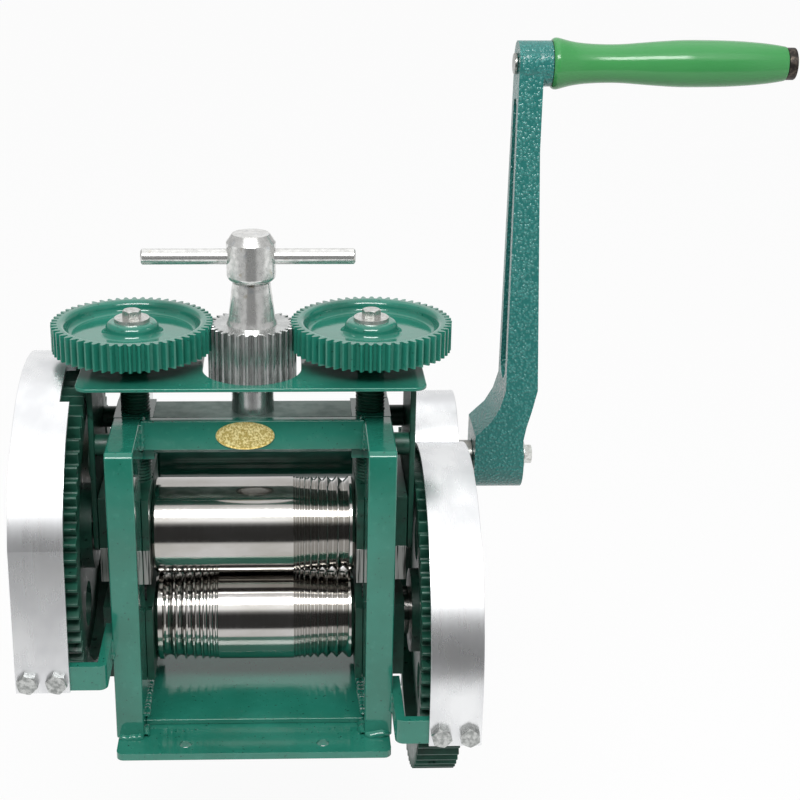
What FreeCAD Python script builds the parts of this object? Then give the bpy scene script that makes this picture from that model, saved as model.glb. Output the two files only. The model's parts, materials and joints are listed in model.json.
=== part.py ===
"""Jeweller's combination rolling mill: every piece as its own solid, in millimetres.

X points to the right, Y to the back and Z up. The origin is the middle of the base plate's underside.
side is -1 on the left and +1 on the right. A pair of pieces is built on the right and mirrored.
"""
import FreeCAD, Part
import math
import os

V = FreeCAD.Vector

# ---- fits ----------------------------------------------------------------------------------------
RUN_FIT = 0.04          # radial clearance of a shaft that turns
SLIDE_FIT = 0.06        # clearance each side of a sliding block
SEAT_FIT = 0.01         # radial clearance of a fixed seat or a tapped hole
END_FIT = 0.05          # axial clearance at a turning shoulder
CUT = 1.0               # how far a cutting solid reaches past what it cuts
FAR = 600.0             # longer than the whole mill

# ---- rolls ---------------------------------------------------------------------------------------
ROLL_LENGTH = 112.0
ROLL_R = 27.0
ROLL_GAP = 1.5          # between the rolls at rest
ROLL_CHAMFER = 1.5
LOWER_Z = 47.0
UPPER_Z = LOWER_Z + 2 * ROLL_R + ROLL_GAP
JOURNAL_R = 14.0
V_GROOVE_FIELD = 34.0   # from the first V groove to the roll's end
V_GROOVE_WIDTHS = (1.2, 1.8, 2.5, 3.2, 4.0, 4.8, 5.6, 6.2)
V_GROOVE_LAND = 0.25
V_GROOVE_SLOPE = 0.5    # depth over width, a right-angled groove
D_GROOVE_MARGIN = 4.0   # from the roll's end to the first half-round groove, on the lower roll only
D_GROOVE_WIDTHS = (6.0, 5.2, 4.4, 3.7, 3.0, 2.4, 1.8)
D_GROOVE_LAND = 0.8
D_GROOVE_SLOPE = 0.42   # depth over width
LIFT_MAX = 3.5          # travel of the upper roll from rest

# ---- frame ---------------------------------------------------------------------------------------
SIDE_IN = ROLL_LENGTH / 2 + 4.5     # inner face of a side frame
SIDE_T = 15.0
SIDE_OUT = SIDE_IN + SIDE_T
SIDE_HALF_Y = 65.4
BASE_X = 2 * SIDE_OUT - 2.0
BASE_Y = 162.6
BASE_T = 4.0
BASE_CORNER_R = 4.0
MOUNT_PITCH_X = 75.0
MOUNT_PITCH_Y = 144.0
MOUNT_HOLE_R = 3.3
WINDOW_HALF_Y = 30.0
WINDOW_Z0 = LOWER_Z - 25.0
WINDOW_Z1 = UPPER_Z + 45.5
FRAME_TOP = WINDOW_Z1 + 24.5
FRAME_BEVEL = 2.5
EAR_R = 22.0            # round ear behind each side frame that carries the crank shaft
EAR_ROOT_Z0 = 60.0
EAR_ROOT_Z1 = 148.0
NUT_Y0 = -13.0
NUT_Y1 = 16.0
NUT_IN = SIDE_IN - 6.5
BEAM_Y1 = 12.0
BEAM_Z0 = FRAME_TOP - 20.5
BEAM_POCKET_H = 8.0     # pocket under the beam for the spindle's collar
BEAM_POCKET_GAP = 0.6
FRONT_BAR_Y0 = -19.0
FRONT_BAR_H = 17.0
TUBE_R = 14.8           # tube round the crank shaft between the side frames
TUBE_GAP = 1.0
TIE_HALF_Y = 52.0
TIE_T = 3.0
BADGE_A = 16.0
BADGE_B = 8.0
BADGE_T = 1.0
BADGE_X = -4.0

# ---- drive gears ---------------------------------------------------------------------------------
DRIVE_MODULE = 2.5
DRIVE_TEETH = 70
PINION_TEETH = 12
DRIVE_PRESSURE = 25.0
DRIVE_X = SIDE_OUT + 13.5           # inner face of the drive gears
DRIVE_FACE = 23.0       # face width
DRIVE_OUT = DRIVE_X + DRIVE_FACE
DRIVE_TIP_R = DRIVE_MODULE * (DRIVE_TEETH + 2) / 2
DRIVE_SEAT_R = 11.0
DRIVE_RIM = 9.0         # rim under the teeth
DRIVE_HUB_R = 24.0
DRIVE_WEB = 9.0
DRIVE_HOLES = 6
DRIVE_HOLE_R = 13.0
DRIVE_WASHER_R = 16.0
TOOTH_THINNING = 0.08   # backlash taken off each flank
CRANK_Y = DRIVE_MODULE * (DRIVE_TEETH + PINION_TEETH) / 2
CRANK_Z = UPPER_Z - 0.5
SHAFT_R = 9.0
CRANK_BUSH_FLANGE = 2.5
PINION_BOSS_R = 11.5
IDLER_PIN_R = 7.0
IDLER_COLLAR_R = 11.0
IDLER_WASHER_T = 2.0
IDLER_BOLT_L = 14.0
KEY_W = 5.0
KEY_H = 5.0
KEY_INSET = 2.0         # from a gear's faces to its key's ends

# ---- bearing blocks ------------------------------------------------------------------------------
BLOCK_IN = ROLL_LENGTH / 2 + 0.5
BLOCK_OUT = SIDE_OUT + 8.5
BLOCK_FLANGE_HALF_Y = 34.0
BLOCK_FLANGE_GAP = 0.2
LOWER_BLOCK_TOP = LOWER_Z + 19.0
UPPER_BLOCK_TOP = UPPER_Z + 29.5
SHOE_Z0 = UPPER_Z - 20.5
BUSH_WALL = 3.0
BUSH_INSET = 0.5        # from a block's faces to its bush's ends
JOURNAL_SHORT_X = BLOCK_OUT - 2.0   # where the journal without a gear ends
POCKET_DEPTH = 2.3
POCKET_GAP = 1.1
SPRING_X = SIDE_IN + 4.5
SPRING_Y = 22.5
SPRING_COIL_R = 4.2
SPRING_WIRE_R = 0.7
SPRING_TURNS = 5
SPRING_PIN_R = 2.6
SPRING_PIN_H = 9.0
BLOCK_BOLT_X = SIDE_OUT + 0.5
BLOCK_BOLT_Y = 23.5
BLOCK_BOLT_R = 2.5
BLOCK_BOLT_HEAD_R = 4.0
BLOCK_BOLT_HEAD_H = 4.0
BLOCK_BOLT_SOCKET = 4.0
BLOCK_BOLT_L = 36.0

# ---- screws, top gears and T-handle --------------------------------------------------------------
TOP_MODULE = 1.5
CENTRE_TEETH = 30
TOP_TEETH = round(2 * (SIDE_IN + 4.0) / TOP_MODULE) - CENTRE_TEETH
TOP_PRESSURE = 20.0
SCREW_X = TOP_MODULE * (TOP_TEETH + CENTRE_TEETH) / 2
SCREW_R = 8.0
SCREW_NECK_R = 7.0
BRIDGE_Z0 = FRAME_TOP + 25.5
BRIDGE_T = 2.0
TOP_GEAR_Z0 = BRIDGE_Z0 + BRIDGE_T + 8.5
TOP_GEAR_FACE = 15.0
TOP_GEAR_RIM = 4.5      # rim under the teeth
TOP_GEAR_RECESS = 6.8
TOP_GEAR_HUB_R = 14.3
TOP_KEY_W = 4.0
TOP_KEY_INSET = 1.5
TOP_WASHER_R = 9.7
TOP_WASHER_T = 1.8
TOP_BOLT_R = 3.0
TOP_BOLT_AF = 9.0
TOP_BOLT_HEAD = 4.3
TOP_BOLT_L = 16.0
SPINDLE_R = 8.0
SPINDLE_SHOULDER_R = 11.6
SPINDLE_COLLAR_R = 10.0
SPINDLE_COLLAR_H = 6.0
CENTRE_PINION_Z0 = BRIDGE_Z0 - 8.0
CENTRE_PINION_Z1 = TOP_GEAR_Z0 + 13.5
HEAD_FOOT_R = 13.8
HEAD_SKIRT_R = 12.7
HEAD_SKIRT_H = 3.5
HEAD_NECK_R = 10.2
HEAD_GROOVE_R = 9.5
HEAD_GROOVE_H = 0.8
HEAD_R = 13.2
HEAD_Z0 = CENTRE_PINION_Z1 + 24.0
HEAD_H = 25.6
HEAD_BASE_FILLET = 3.2
HEAD_TOP_R = 10.0
HEAD_CHAMFER_H = 4.6
SPINDLE_TOP = HEAD_Z0 + 2.0
BAR_R = 4.25
BAR_Z = HEAD_Z0 + 13.0
BAR_L = 114.0
BAR_OFFSET = -1.5       # the bar stands a little out to the left
BAR_CHAMFER = 0.8

# ---- gear bridge ---------------------------------------------------------------------------------
LEG_IN = BLOCK_OUT + 0.8
LEG_T = 3.0
LEG_HALF_Y = 26.0
LEG_Z0 = UPPER_Z - 5.5
LEG_SLOT_HALF_Y = JOURNAL_R + 2.5
LEG_CORNER_R = 6.0
BRIDGE_HALF_X = LEG_IN + LEG_T + 4.2
BRIDGE_HALF_Y = 43.6
BRIDGE_CORNER_R = 7.0
BRIDGE_SLOT_R = TOP_MODULE * (CENTRE_TEETH + 2) / 2 + 2.4
BRIDGE_SLOT_HALF_Y = 38.0
BRIDGE_SCREW_GAP = 1.5
STANDOFF_R = 6.0
STANDOFF_Y = 21.0
STANDOFF_Z = 160.0

# ---- guards --------------------------------------------------------------------------------------
GUARD_W = 28.0
GUARD_T = 2.5
GUARD_R = DRIVE_TIP_R + 5.0         # inner radius over a drive gear
GUARD_X = {-1: DRIVE_X + 5.5, 1: DRIVE_X + 4.0}
GUARD_CENTRE_Z = {-1: UPPER_Z + 1.5, 1: LOWER_Z}
GUARD_BEND = {-1: 27.0, 1: 0.0}     # the flat front starts this far above the gear's centre
GUARD_FRONT_Z = {-1: 52.0, 1: 17.5}
GUARD_REAR_Z = 86.0
HUMP_CENTRE = {-1: (CRANK_Y, CRANK_Z), 1: (CRANK_Y - 12.5, CRANK_Z + 6.0)}
HUMP_R = {-1: 27.5, 1: 36.7}
NOTCH_DEPTH = 5.0
NOTCH_Y0 = -41.0
NOTCH_Y1 = -10.0
BRACKET_T = 5.0
BRACKET_H = 14.0
BRACKET_FRONT_END_Y = -48.0
BRACKET_REAR_END_Y = CRANK_Y + 16.0
BRACKET_BEND_R = 4.5
GUARD_BOLT_R = 3.0
GUARD_BOLT_AF = 10.0
GUARD_BOLT_HEAD = 4.0
GUARD_BOLT_INSET = 6.5  # from the guard's inner edge to the first bolt
GUARD_BOLT_PITCH = 15.0
GUARD_BOLT_UP = 6.8     # above the guard's lower end

# ---- crank ---------------------------------------------------------------------------------------
CRANK_HUB_IN = DRIVE_OUT + 22.5
CRANK_HUB_OUT = CRANK_HUB_IN + 30.5
CRANK_HUB_R = 20.0
CRANK_SEAT_R = 8.0
CRANK_SEAT_END = 1.0    # the shaft ends this far inside the hub
CRANK_KEY_INSET = 3.0
CRANK_ARM = 243.0       # from the shaft to the grip
ARM_IN = CRANK_HUB_IN + 17.5
ARM_HEAD_T = 13.9       # thickness at the grip
ARM_FOOT_T = 19.5       # thickness at the foot
ARM_FOOT_H = 29.0       # the arm reaches its inner face this far above the hub
# x past the hub's inner face, z above the hub
ARM_INNER_CURVE = ((0.0, -0.5), (9.5, 9.0), (14.5, 18.0))
# x inside the foot's outer face, z above the hub
ARM_OUTER_CURVE = ((2.9, 16.0), (5.9, 5.0), (7.5, -4.0))
ARM_TAPER = (2.2, 83.0)
ARM_HEAD_H = 49.0       # the head keeps its thickness this far down from the grip
ARM_TOP_INSET = 1.5     # the arm is this much narrower than its boss
BOSS_R = 13.0
BOSS_OUT = ARM_IN + 19.4
ARM_RECESS = 4.0        # depth of the recess in the inner face
ARM_RECESS_OUTER = 2.5  # and in the outer face
ARM_RECESS_FOOT = 42.0  # the recess starts this far above the hub
ARM_RECESS_HEAD = 26.0  # and ends this far under the grip
ARM_FLANGE_FOOT = 9.5
ARM_FLANGE_HEAD = 7.0
CRANK_WASHER_R = 8.5
CRANK_WASHER_T = 2.5
CRANK_BOLT_R = 4.0
CRANK_BOLT_AF = 11.5
CRANK_BOLT_HEAD = 4.8
CRANK_BOLT_L = 20.0
GRIP_BOLT_R = 5.0
GRIP_HEAD_R = 6.0
GRIP_HEAD_T = 2.0
GRIP_END_PLAY = 0.3
GRIP_L = 135.6
GRIP_NUT_R = 9.2
GRIP_NUT_T = 5.2
GRIP_NUT_CAP = 1.2
GRIP_PROFILE = ((0.0, 13.6), (2.4, 14.7), (4.8, 14.3), (10.5, 12.8), (16.4, 11.8), (28.0, 11.0),
                (39.5, 11.0), (51.0, 11.8), (63.0, 12.7), (74.5, 13.3), (86.0, 13.35), (97.5, 13.2),
                (109.5, 12.7), (121.0, 11.8), (130.0, 10.7), (GRIP_L, 9.7))


# ---- small helpers -------------------------------------------------------------------------------
def block(x0, x1, y0, y1, z0, z1):
    """A box between two corners, given in either order."""
    lo = V(min(x0, x1), min(y0, y1), min(z0, z1))
    return Part.makeBox(abs(x1 - x0), abs(y1 - y0), abs(z1 - z0), lo)


def rod_x(x0, x1, y, z, r):
    return Part.makeCylinder(r, abs(x1 - x0), V(min(x0, x1), y, z), V(1, 0, 0))


def rod_y(y0, y1, x, z, r):
    return Part.makeCylinder(r, abs(y1 - y0), V(x, min(y0, y1), z), V(0, 1, 0))


def rod_z(z0, z1, x, y, r):
    return Part.makeCylinder(r, abs(z1 - z0), V(x, y, min(z0, z1)), V(0, 0, 1))


def hexagon(centre, axis, height, flats, hole_r=0.0):
    """A hexagonal head or nut that grows from centre along axis."""
    r = flats / math.sqrt(3)
    corners = [V(r * math.cos(math.radians(a)), r * math.sin(math.radians(a)), 0) for a in range(0, 361, 60)]
    solid = Part.Face(Part.makePolygon(corners)).extrude(V(0, 0, height))
    if hole_r:
        solid = solid.cut(rod_z(0, height, 0, 0, hole_r))
    solid.Placement = FreeCAD.Placement(centre, FreeCAD.Rotation(V(0, 0, 1), axis))
    return solid


def bolt(centre, axis, shank_r, shank_length, flats, head):
    """A hexagon bolt: its head grows along axis from centre, and its shank the other way."""
    shank = Part.makeCylinder(shank_r, shank_length, centre, axis * -1)
    return hexagon(centre, axis, head, flats).fuse(shank).removeSplitter()


def revolve_x(profile, y, z):
    """Turn a closed wire of (x, r) edges about the axis through y, z."""
    face = Part.Face(profile)
    solid = face.revolve(V(0, 0, 0), V(1, 0, 0), 360)
    solid.translate(V(0, y, z))
    return solid


def polygon_x(points, x0, x1):
    """Extrude a closed outline of (y, z) points from x0 to x1."""
    wire = Part.makePolygon([V(x0, y, z) for y, z in points] + [V(x0, *points[0])])
    return Part.Face(wire).extrude(V(x1 - x0, 0, 0))


def polygon_y(points, y0, y1):
    """Extrude a closed outline of (x, z) points from y0 to y1."""
    wire = Part.makePolygon([V(x, y0, z) for x, z in points] + [V(points[0][0], y0, points[0][1])])
    return Part.Face(wire).extrude(V(0, y1 - y0, 0))


def mirrored(shape):
    return shape.mirror(V(0, 0, 0), V(1, 0, 0))


def on_side(shape, side):
    return shape if side > 0 else mirrored(shape)


def fillet_parallel(solid, direction, radius, keep):
    """Round the straight edges along direction whose middle satisfies keep."""
    edges = []
    for edge in solid.Edges:
        if isinstance(edge.Curve, Part.Line) and abs(edge.Curve.Direction.dot(direction)) > 0.999:
            if keep(edge.CenterOfMass):
                edges.append(edge)
    return solid.makeFillet(radius, edges)


def tangent_point(y, z, cy, cz, r, turn):
    """Where the line from (y, z) touches the circle, on the side given by turn."""
    span = math.hypot(y - cy, z - cz)
    angle = math.atan2(z - cz, y - cy) + turn * math.acos(r / span)
    return cy + r * math.cos(angle), cz + r * math.sin(angle)


# ---- gears ---------------------------------------------------------------------------------------
def involute(angle):
    return math.tan(angle) - angle


def polar(r, angle):
    return V(r * math.cos(angle), r * math.sin(angle), 0)


def gear_disc(teeth, module, pressure, width, phase):
    """A toothed disc on XY from z = 0 to width. One tooth points at the angle phase."""
    pitch_r = module * teeth / 2
    tip_r = pitch_r + module
    root_r = pitch_r - 1.25 * module
    base_r = pitch_r * math.cos(math.radians(pressure))
    start_r = max(base_r, root_r)
    half = math.pi / (2 * teeth) - TOOTH_THINNING / pitch_r + involute(math.radians(pressure))
    radii = [start_r + (tip_r - start_r) * (i / 4) ** 1.3 for i in range(5)]
    flank = [(r, half - involute(math.acos(min(1.0, base_r / r)))) for r in radii]
    edges = []
    step = 2 * math.pi / teeth
    for i in range(teeth):
        middle = phase + i * step
        rising = [polar(r, middle - a) for r, a in flank]
        falling = [polar(r, middle + a) for r, a in reversed(flank)]
        foot_angle = flank[0][1]
        if base_r > root_r:
            edges.append(Part.LineSegment(polar(root_r, middle - foot_angle), rising[0]).toShape())
        edges.append(spline_edge(rising))
        edges.append(Part.Arc(rising[-1], polar(tip_r, middle), falling[0]).toShape())
        edges.append(spline_edge(falling))
        if base_r > root_r:
            edges.append(Part.LineSegment(falling[-1], polar(root_r, middle + foot_angle)).toShape())
        root_start = polar(root_r, middle + foot_angle)
        root_end = polar(root_r, middle + step - foot_angle)
        edges.append(Part.Arc(root_start, polar(root_r, middle + step / 2), root_end).toShape())
    return Part.Face(Part.Wire(edges)).extrude(V(0, 0, width))


def spline_edge(points):
    curve = Part.BSplineCurve()
    curve.interpolate(points)
    return curve.toShape()


def gear_x(teeth, phase, x0, x1, y, z):
    """A drive-train gear whose axis runs along X, with a tooth at phase measured from +Y towards +Z."""
    disc = gear_disc(teeth, DRIVE_MODULE, DRIVE_PRESSURE, abs(x1 - x0), phase)
    disc.rotate(V(0, 0, 0), V(1, 1, 1), 120)
    disc.translate(V(min(x0, x1), y, z))
    return disc


def gear_pitch_r(teeth):
    return DRIVE_MODULE * teeth / 2


def idler_centre():
    """The idler touches the right pinion and the lower drive gear, above the line between them."""
    to_gear = gear_pitch_r(DRIVE_TEETH + PINION_TEETH)
    to_pinion = gear_pitch_r(2 * PINION_TEETH)
    span = math.hypot(CRANK_Y, CRANK_Z - LOWER_Z)
    along = (to_gear ** 2 - to_pinion ** 2 + span ** 2) / (2 * span)
    off = math.sqrt(to_gear ** 2 - along ** 2)
    uy, uz = CRANK_Y / span, (CRANK_Z - LOWER_Z) / span
    return along * uy - off * uz, LOWER_Z + along * uz + off * uy


def meshing_phase(driver_teeth, driver_phase, driver_yz, teeth, yz):
    """Phase of a gear that meshes with a driver whose phase is known."""
    line = math.atan2(yz[1] - driver_yz[1], yz[0] - driver_yz[0])
    pitch = 2 * math.pi / driver_teeth
    offset = (driver_phase - line + pitch / 2) % pitch - pitch / 2
    space = line + math.pi - offset * driver_teeth / teeth
    return space + math.pi / teeth


CRANK_YZ = (CRANK_Y, CRANK_Z)
IDLER_YZ = idler_centre()
UPPER_GEAR_PHASE = meshing_phase(PINION_TEETH, 0.0, CRANK_YZ, DRIVE_TEETH, (0.0, UPPER_Z))
IDLER_PHASE = meshing_phase(PINION_TEETH, 0.0, CRANK_YZ, PINION_TEETH, IDLER_YZ)
LOWER_GEAR_PHASE = meshing_phase(PINION_TEETH, IDLER_PHASE, IDLER_YZ, DRIVE_TEETH, (0.0, LOWER_Z))


def key_x(x0, x1, y, z, shaft_r):
    """A parallel key on top of a shaft along X, half in the shaft and half in the hub."""
    return block(x0, x1, y - KEY_W / 2, y + KEY_W / 2, z + shaft_r - KEY_H / 2, z + shaft_r + KEY_H / 2)


# ---- frame ---------------------------------------------------------------------------------------
def base_plate():
    plate = block(-BASE_X / 2, BASE_X / 2, -BASE_Y / 2, BASE_Y / 2, 0, BASE_T)
    plate = fillet_parallel(plate, V(0, 0, 1), BASE_CORNER_R, lambda c: True)
    for sx in (-1, 1):
        for sy in (-1, 1):
            hole = rod_z(0, BASE_T, sx * MOUNT_PITCH_X / 2, sy * MOUNT_PITCH_Y / 2, MOUNT_HOLE_R)
            plate = plate.cut(hole)
    return plate


def side_frame(side):
    """A thick side plate with a window for the bearing blocks and a rear ear for the crank shaft."""
    x0, x1 = SIDE_IN, SIDE_OUT
    half, top = SIDE_HALF_Y, FRAME_TOP
    upper = tangent_point(half, EAR_ROOT_Z1, CRANK_Y, CRANK_Z, EAR_R, -1)
    lower = tangent_point(half, EAR_ROOT_Z0, CRANK_Y, CRANK_Z, EAR_R, 1)
    outline = [(-half, BASE_T), (-half, top - FRAME_BEVEL), (-half + FRAME_BEVEL, top),
               (half - FRAME_BEVEL, top), (half, top - FRAME_BEVEL), (half, EAR_ROOT_Z1), upper,
               lower, (half, EAR_ROOT_Z0), (half, BASE_T)]
    frame = polygon_x(outline, x0, x1)
    frame = frame.fuse(rod_x(x0, x1, CRANK_Y, CRANK_Z, EAR_R))
    frame = frame.cut(block(x0, x1, -WINDOW_HALF_Y, WINDOW_HALF_Y, WINDOW_Z0, WINDOW_Z1))
    frame = frame.cut(block(x0, x1, NUT_Y0, NUT_Y1, WINDOW_Z1 - CUT, top))
    frame = frame.cut(rod_x(x0, x1, CRANK_Y, CRANK_Z, SHAFT_R + BUSH_WALL + SEAT_FIT))
    if side > 0:
        frame = frame.cut(rod_x(x0, x1, *IDLER_YZ, IDLER_PIN_R + SEAT_FIT))
    return on_side(frame.removeSplitter(), side)


def front_crossbar():
    return block(-SIDE_IN, SIDE_IN, FRONT_BAR_Y0, NUT_Y0, FRAME_TOP - FRONT_BAR_H, FRAME_TOP)


def shaft_tube():
    """A tube that ties the side frames together behind the rolls. The crank shaft runs through it."""
    tube = rod_x(-SIDE_IN, SIDE_IN, CRANK_Y, CRANK_Z, TUBE_R)
    return tube.cut(rod_x(-SIDE_IN, SIDE_IN, CRANK_Y, CRANK_Z, SHAFT_R + TUBE_GAP))


def bottom_tie_plate():
    return block(-SIDE_IN, SIDE_IN, -TIE_HALF_Y, TIE_HALF_Y, BASE_T, BASE_T + TIE_T)


def top_beam():
    """The beam that carries the T-handle, with a pocket under it for the spindle's collar."""
    beam = block(-NUT_IN, NUT_IN, NUT_Y0, BEAM_Y1, BEAM_Z0, FRAME_TOP)
    beam = beam.cut(rod_z(BEAM_Z0, BEAM_Z0 + BEAM_POCKET_H, 0, 0, SPINDLE_COLLAR_R + BEAM_POCKET_GAP))
    return beam.cut(rod_z(BEAM_Z0, FRAME_TOP, 0, 0, SPINDLE_R + RUN_FIT))


def screw_nut(side):
    nut = block(NUT_IN, SIDE_OUT, NUT_Y0, NUT_Y1, WINDOW_Z1, FRAME_TOP)
    nut = nut.cut(rod_z(WINDOW_Z1, FRAME_TOP, SCREW_X, 0, SCREW_R + RUN_FIT))
    return on_side(nut, side)


def badge():
    """A plain oval brass plate in the middle of the front crossbar."""
    oval = Part.Ellipse(V(0, 0, 0), BADGE_A, BADGE_B).toShape()
    disc = Part.Face(Part.Wire([oval])).extrude(V(0, 0, BADGE_T))
    disc.rotate(V(0, 0, 0), V(1, 0, 0), 90)
    disc.translate(V(BADGE_X, FRONT_BAR_Y0, FRAME_TOP - FRONT_BAR_H / 2))
    return disc


# ---- rolls and their bearings --------------------------------------------------------------------
def groove_edges(points, start, widths, land, slope, rounded):
    """Add a row of grooves to a profile of points, each (x, r) or an arc's middle marked with True."""
    x = start
    for width in widths:
        depth = width * slope
        points.append((x, ROLL_R, False))
        points.append((x + width / 2, ROLL_R - depth, rounded))
        points.append((x + width, ROLL_R, False))
        x += width + land


def roll(z, gear_side, with_half_round):
    """A roll with its grooves, journals and gear seat as one turned piece."""
    half = ROLL_LENGTH / 2
    points = [(-half, 0, False), (-half, ROLL_R - ROLL_CHAMFER, False), (-half + ROLL_CHAMFER, ROLL_R, False)]
    if with_half_round:
        groove_edges(points, D_GROOVE_MARGIN - half, D_GROOVE_WIDTHS, D_GROOVE_LAND, D_GROOVE_SLOPE, True)
    groove_edges(points, half - V_GROOVE_FIELD, V_GROOVE_WIDTHS, V_GROOVE_LAND, V_GROOVE_SLOPE, False)
    points += [(half - ROLL_CHAMFER, ROLL_R, False), (half, ROLL_R - ROLL_CHAMFER, False), (half, 0, False)]
    edges = []
    i = 0
    while i < len(points) - 1:
        a = V(points[i][0], points[i][1], 0)
        b = V(points[i + 1][0], points[i + 1][1], 0)
        if points[i + 1][2]:
            c = V(points[i + 2][0], points[i + 2][1], 0)
            edges.append(Part.Arc(a, b, c).toShape())
            i += 2
        else:
            edges.append(Part.LineSegment(a, b).toShape())
            i += 1
    edges.append(Part.LineSegment(V(half, 0, 0), V(-half, 0, 0)).toShape())
    body = revolve_x(Part.Wire(edges), 0, z)
    g = gear_side
    seat_end = g * (DRIVE_OUT - END_FIT)
    body = body.fuse([rod_x(-g * JOURNAL_SHORT_X, g * DRIVE_X, 0, z, JOURNAL_R),
                      rod_x(g * DRIVE_X, seat_end, 0, z, DRIVE_SEAT_R)])
    body = body.cut(drive_key(g, z))
    tapped = rod_x(seat_end - g * CRANK_BOLT_L, seat_end, 0, z, CRANK_BOLT_R + SEAT_FIT)
    return body.cut(tapped).removeSplitter()


def block_blank(z0, z1):
    """A bearing block that slides in the window, with a flange inside the frame."""
    flange_out = SIDE_IN - BLOCK_FLANGE_GAP
    half = WINDOW_HALF_Y - SLIDE_FIT
    flange = block(BLOCK_IN, flange_out, -BLOCK_FLANGE_HALF_Y, BLOCK_FLANGE_HALF_Y, z0, z1)
    return block(flange_out, BLOCK_OUT, -half, half, z0, z1).fuse(flange).removeSplitter()


def lower_block(side):
    """A fixed bearing block. A short pin on its top holds each lift spring."""
    solid = block_blank(WINDOW_Z0, LOWER_BLOCK_TOP)
    solid = solid.cut(rod_x(BLOCK_IN, BLOCK_OUT, 0, LOWER_Z, JOURNAL_R + BUSH_WALL + SEAT_FIT))
    top = LOWER_BLOCK_TOP
    for y in (-SPRING_Y, SPRING_Y):
        solid = solid.fuse(rod_z(top - CUT, top + SPRING_PIN_H, SPRING_X, y, SPRING_PIN_R))
    return on_side(solid.removeSplitter(), side)


def upper_bore(fit):
    return rod_x(BLOCK_IN, BLOCK_OUT, 0, UPPER_Z, JOURNAL_R + BUSH_WALL + fit)


def upper_block(side):
    """The upper half of an upper bearing, with the pocket that the adjusting screw presses on."""
    solid = block_blank(UPPER_Z, UPPER_BLOCK_TOP).cut(upper_bore(RUN_FIT))
    pocket = rod_z(UPPER_BLOCK_TOP - POCKET_DEPTH, UPPER_BLOCK_TOP, SCREW_X, 0, SCREW_R + POCKET_GAP)
    solid = solid.cut(pocket)
    for y in (-BLOCK_BOLT_Y, BLOCK_BOLT_Y):
        shank_top = SHOE_Z0 + BLOCK_BOLT_HEAD_H + BLOCK_BOLT_L
        solid = solid.cut(rod_z(UPPER_Z, shank_top, BLOCK_BOLT_X, y, BLOCK_BOLT_R + SEAT_FIT))
    return on_side(solid, side)


def upper_shoe(side):
    """The lower half of an upper bearing. The lift springs push on its underside."""
    solid = block_blank(SHOE_Z0, UPPER_Z).cut(upper_bore(RUN_FIT))
    for y in (-BLOCK_BOLT_Y, BLOCK_BOLT_Y):
        solid = solid.cut(rod_z(SHOE_Z0, UPPER_Z, BLOCK_BOLT_X, y, BLOCK_BOLT_R + SEAT_FIT))
        head = rod_z(SHOE_Z0, SHOE_Z0 + BLOCK_BOLT_HEAD_H, BLOCK_BOLT_X, y, BLOCK_BOLT_HEAD_R + SEAT_FIT)
        solid = solid.cut(head)
    return on_side(solid, side)


def block_bolts():
    solids = []
    for side in (-1, 1):
        for y in (-BLOCK_BOLT_Y, BLOCK_BOLT_Y):
            seat = SHOE_Z0 + BLOCK_BOLT_HEAD_H
            shank = rod_z(seat, seat + BLOCK_BOLT_L, side * BLOCK_BOLT_X, y, BLOCK_BOLT_R)
            head = rod_z(SHOE_Z0, seat, side * BLOCK_BOLT_X, y, BLOCK_BOLT_HEAD_R)
            foot = V(side * BLOCK_BOLT_X, y, SHOE_Z0)
            socket = hexagon(foot, V(0, 0, 1), BLOCK_BOLT_HEAD_H / 2, BLOCK_BOLT_SOCKET)
            solids.append(head.fuse(shank).cut(socket).removeSplitter())
    return solids


def bush(side, z):
    x0, x1 = BLOCK_IN + BUSH_INSET, BLOCK_OUT - BUSH_INSET
    outer = rod_x(x0, x1, 0, z, JOURNAL_R + BUSH_WALL)
    return on_side(outer.cut(rod_x(x0, x1, 0, z, JOURNAL_R + RUN_FIT)), side)


def spring_places():
    return [(side * SPRING_X, y) for side in (-1, 1) for y in (-SPRING_Y, SPRING_Y)]


def lift_spring(x, y):
    """A helical spring between the lower block and the shoe."""
    z0 = LOWER_BLOCK_TOP + SPRING_WIRE_R + SEAT_FIT
    length = SHOE_Z0 - LOWER_BLOCK_TOP - 2 * (SPRING_WIRE_R + SEAT_FIT)
    path = Part.makeHelix(length / SPRING_TURNS, length, SPRING_COIL_R)
    section = Part.Wire([Part.Circle(V(SPRING_COIL_R, 0, 0), V(0, 1, 0), SPRING_WIRE_R).toShape()])
    wire = Part.Wire(path).makePipeShell([section], True, True)
    wire.translate(V(x, y, z0))
    return wire


# ---- drive train ---------------------------------------------------------------------------------
def drive_gear(side, z, phase):
    """A large gear: rim, thin web with round holes, and a hub keyed on a roll."""
    x0, x1 = DRIVE_X, DRIVE_OUT
    gear = gear_x(DRIVE_TEETH, phase, x0, x1, 0, z)
    recess_r = gear_pitch_r(DRIVE_TEETH) - 1.25 * DRIVE_MODULE - DRIVE_RIM
    depth = (DRIVE_FACE - DRIVE_WEB) / 2
    for face in (x0, x1 - depth):
        ring = rod_x(face, face + depth, 0, z, recess_r).cut(rod_x(face, face + depth, 0, z, DRIVE_HUB_R))
        gear = gear.cut(ring)
    middle = (recess_r + DRIVE_HUB_R) / 2
    for i in range(DRIVE_HOLES):
        angle = 2 * math.pi * (i + 0.5) / DRIVE_HOLES
        y, zz = middle * math.cos(angle), z + middle * math.sin(angle)
        gear = gear.cut(rod_x(x0, x1, y, zz, DRIVE_HOLE_R))
    gear = gear.cut(rod_x(x0, x1, 0, z, DRIVE_SEAT_R + SEAT_FIT))
    gear = gear.cut(key_x(x0, x1, 0, z, DRIVE_SEAT_R))
    return on_side(gear, side)


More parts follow.
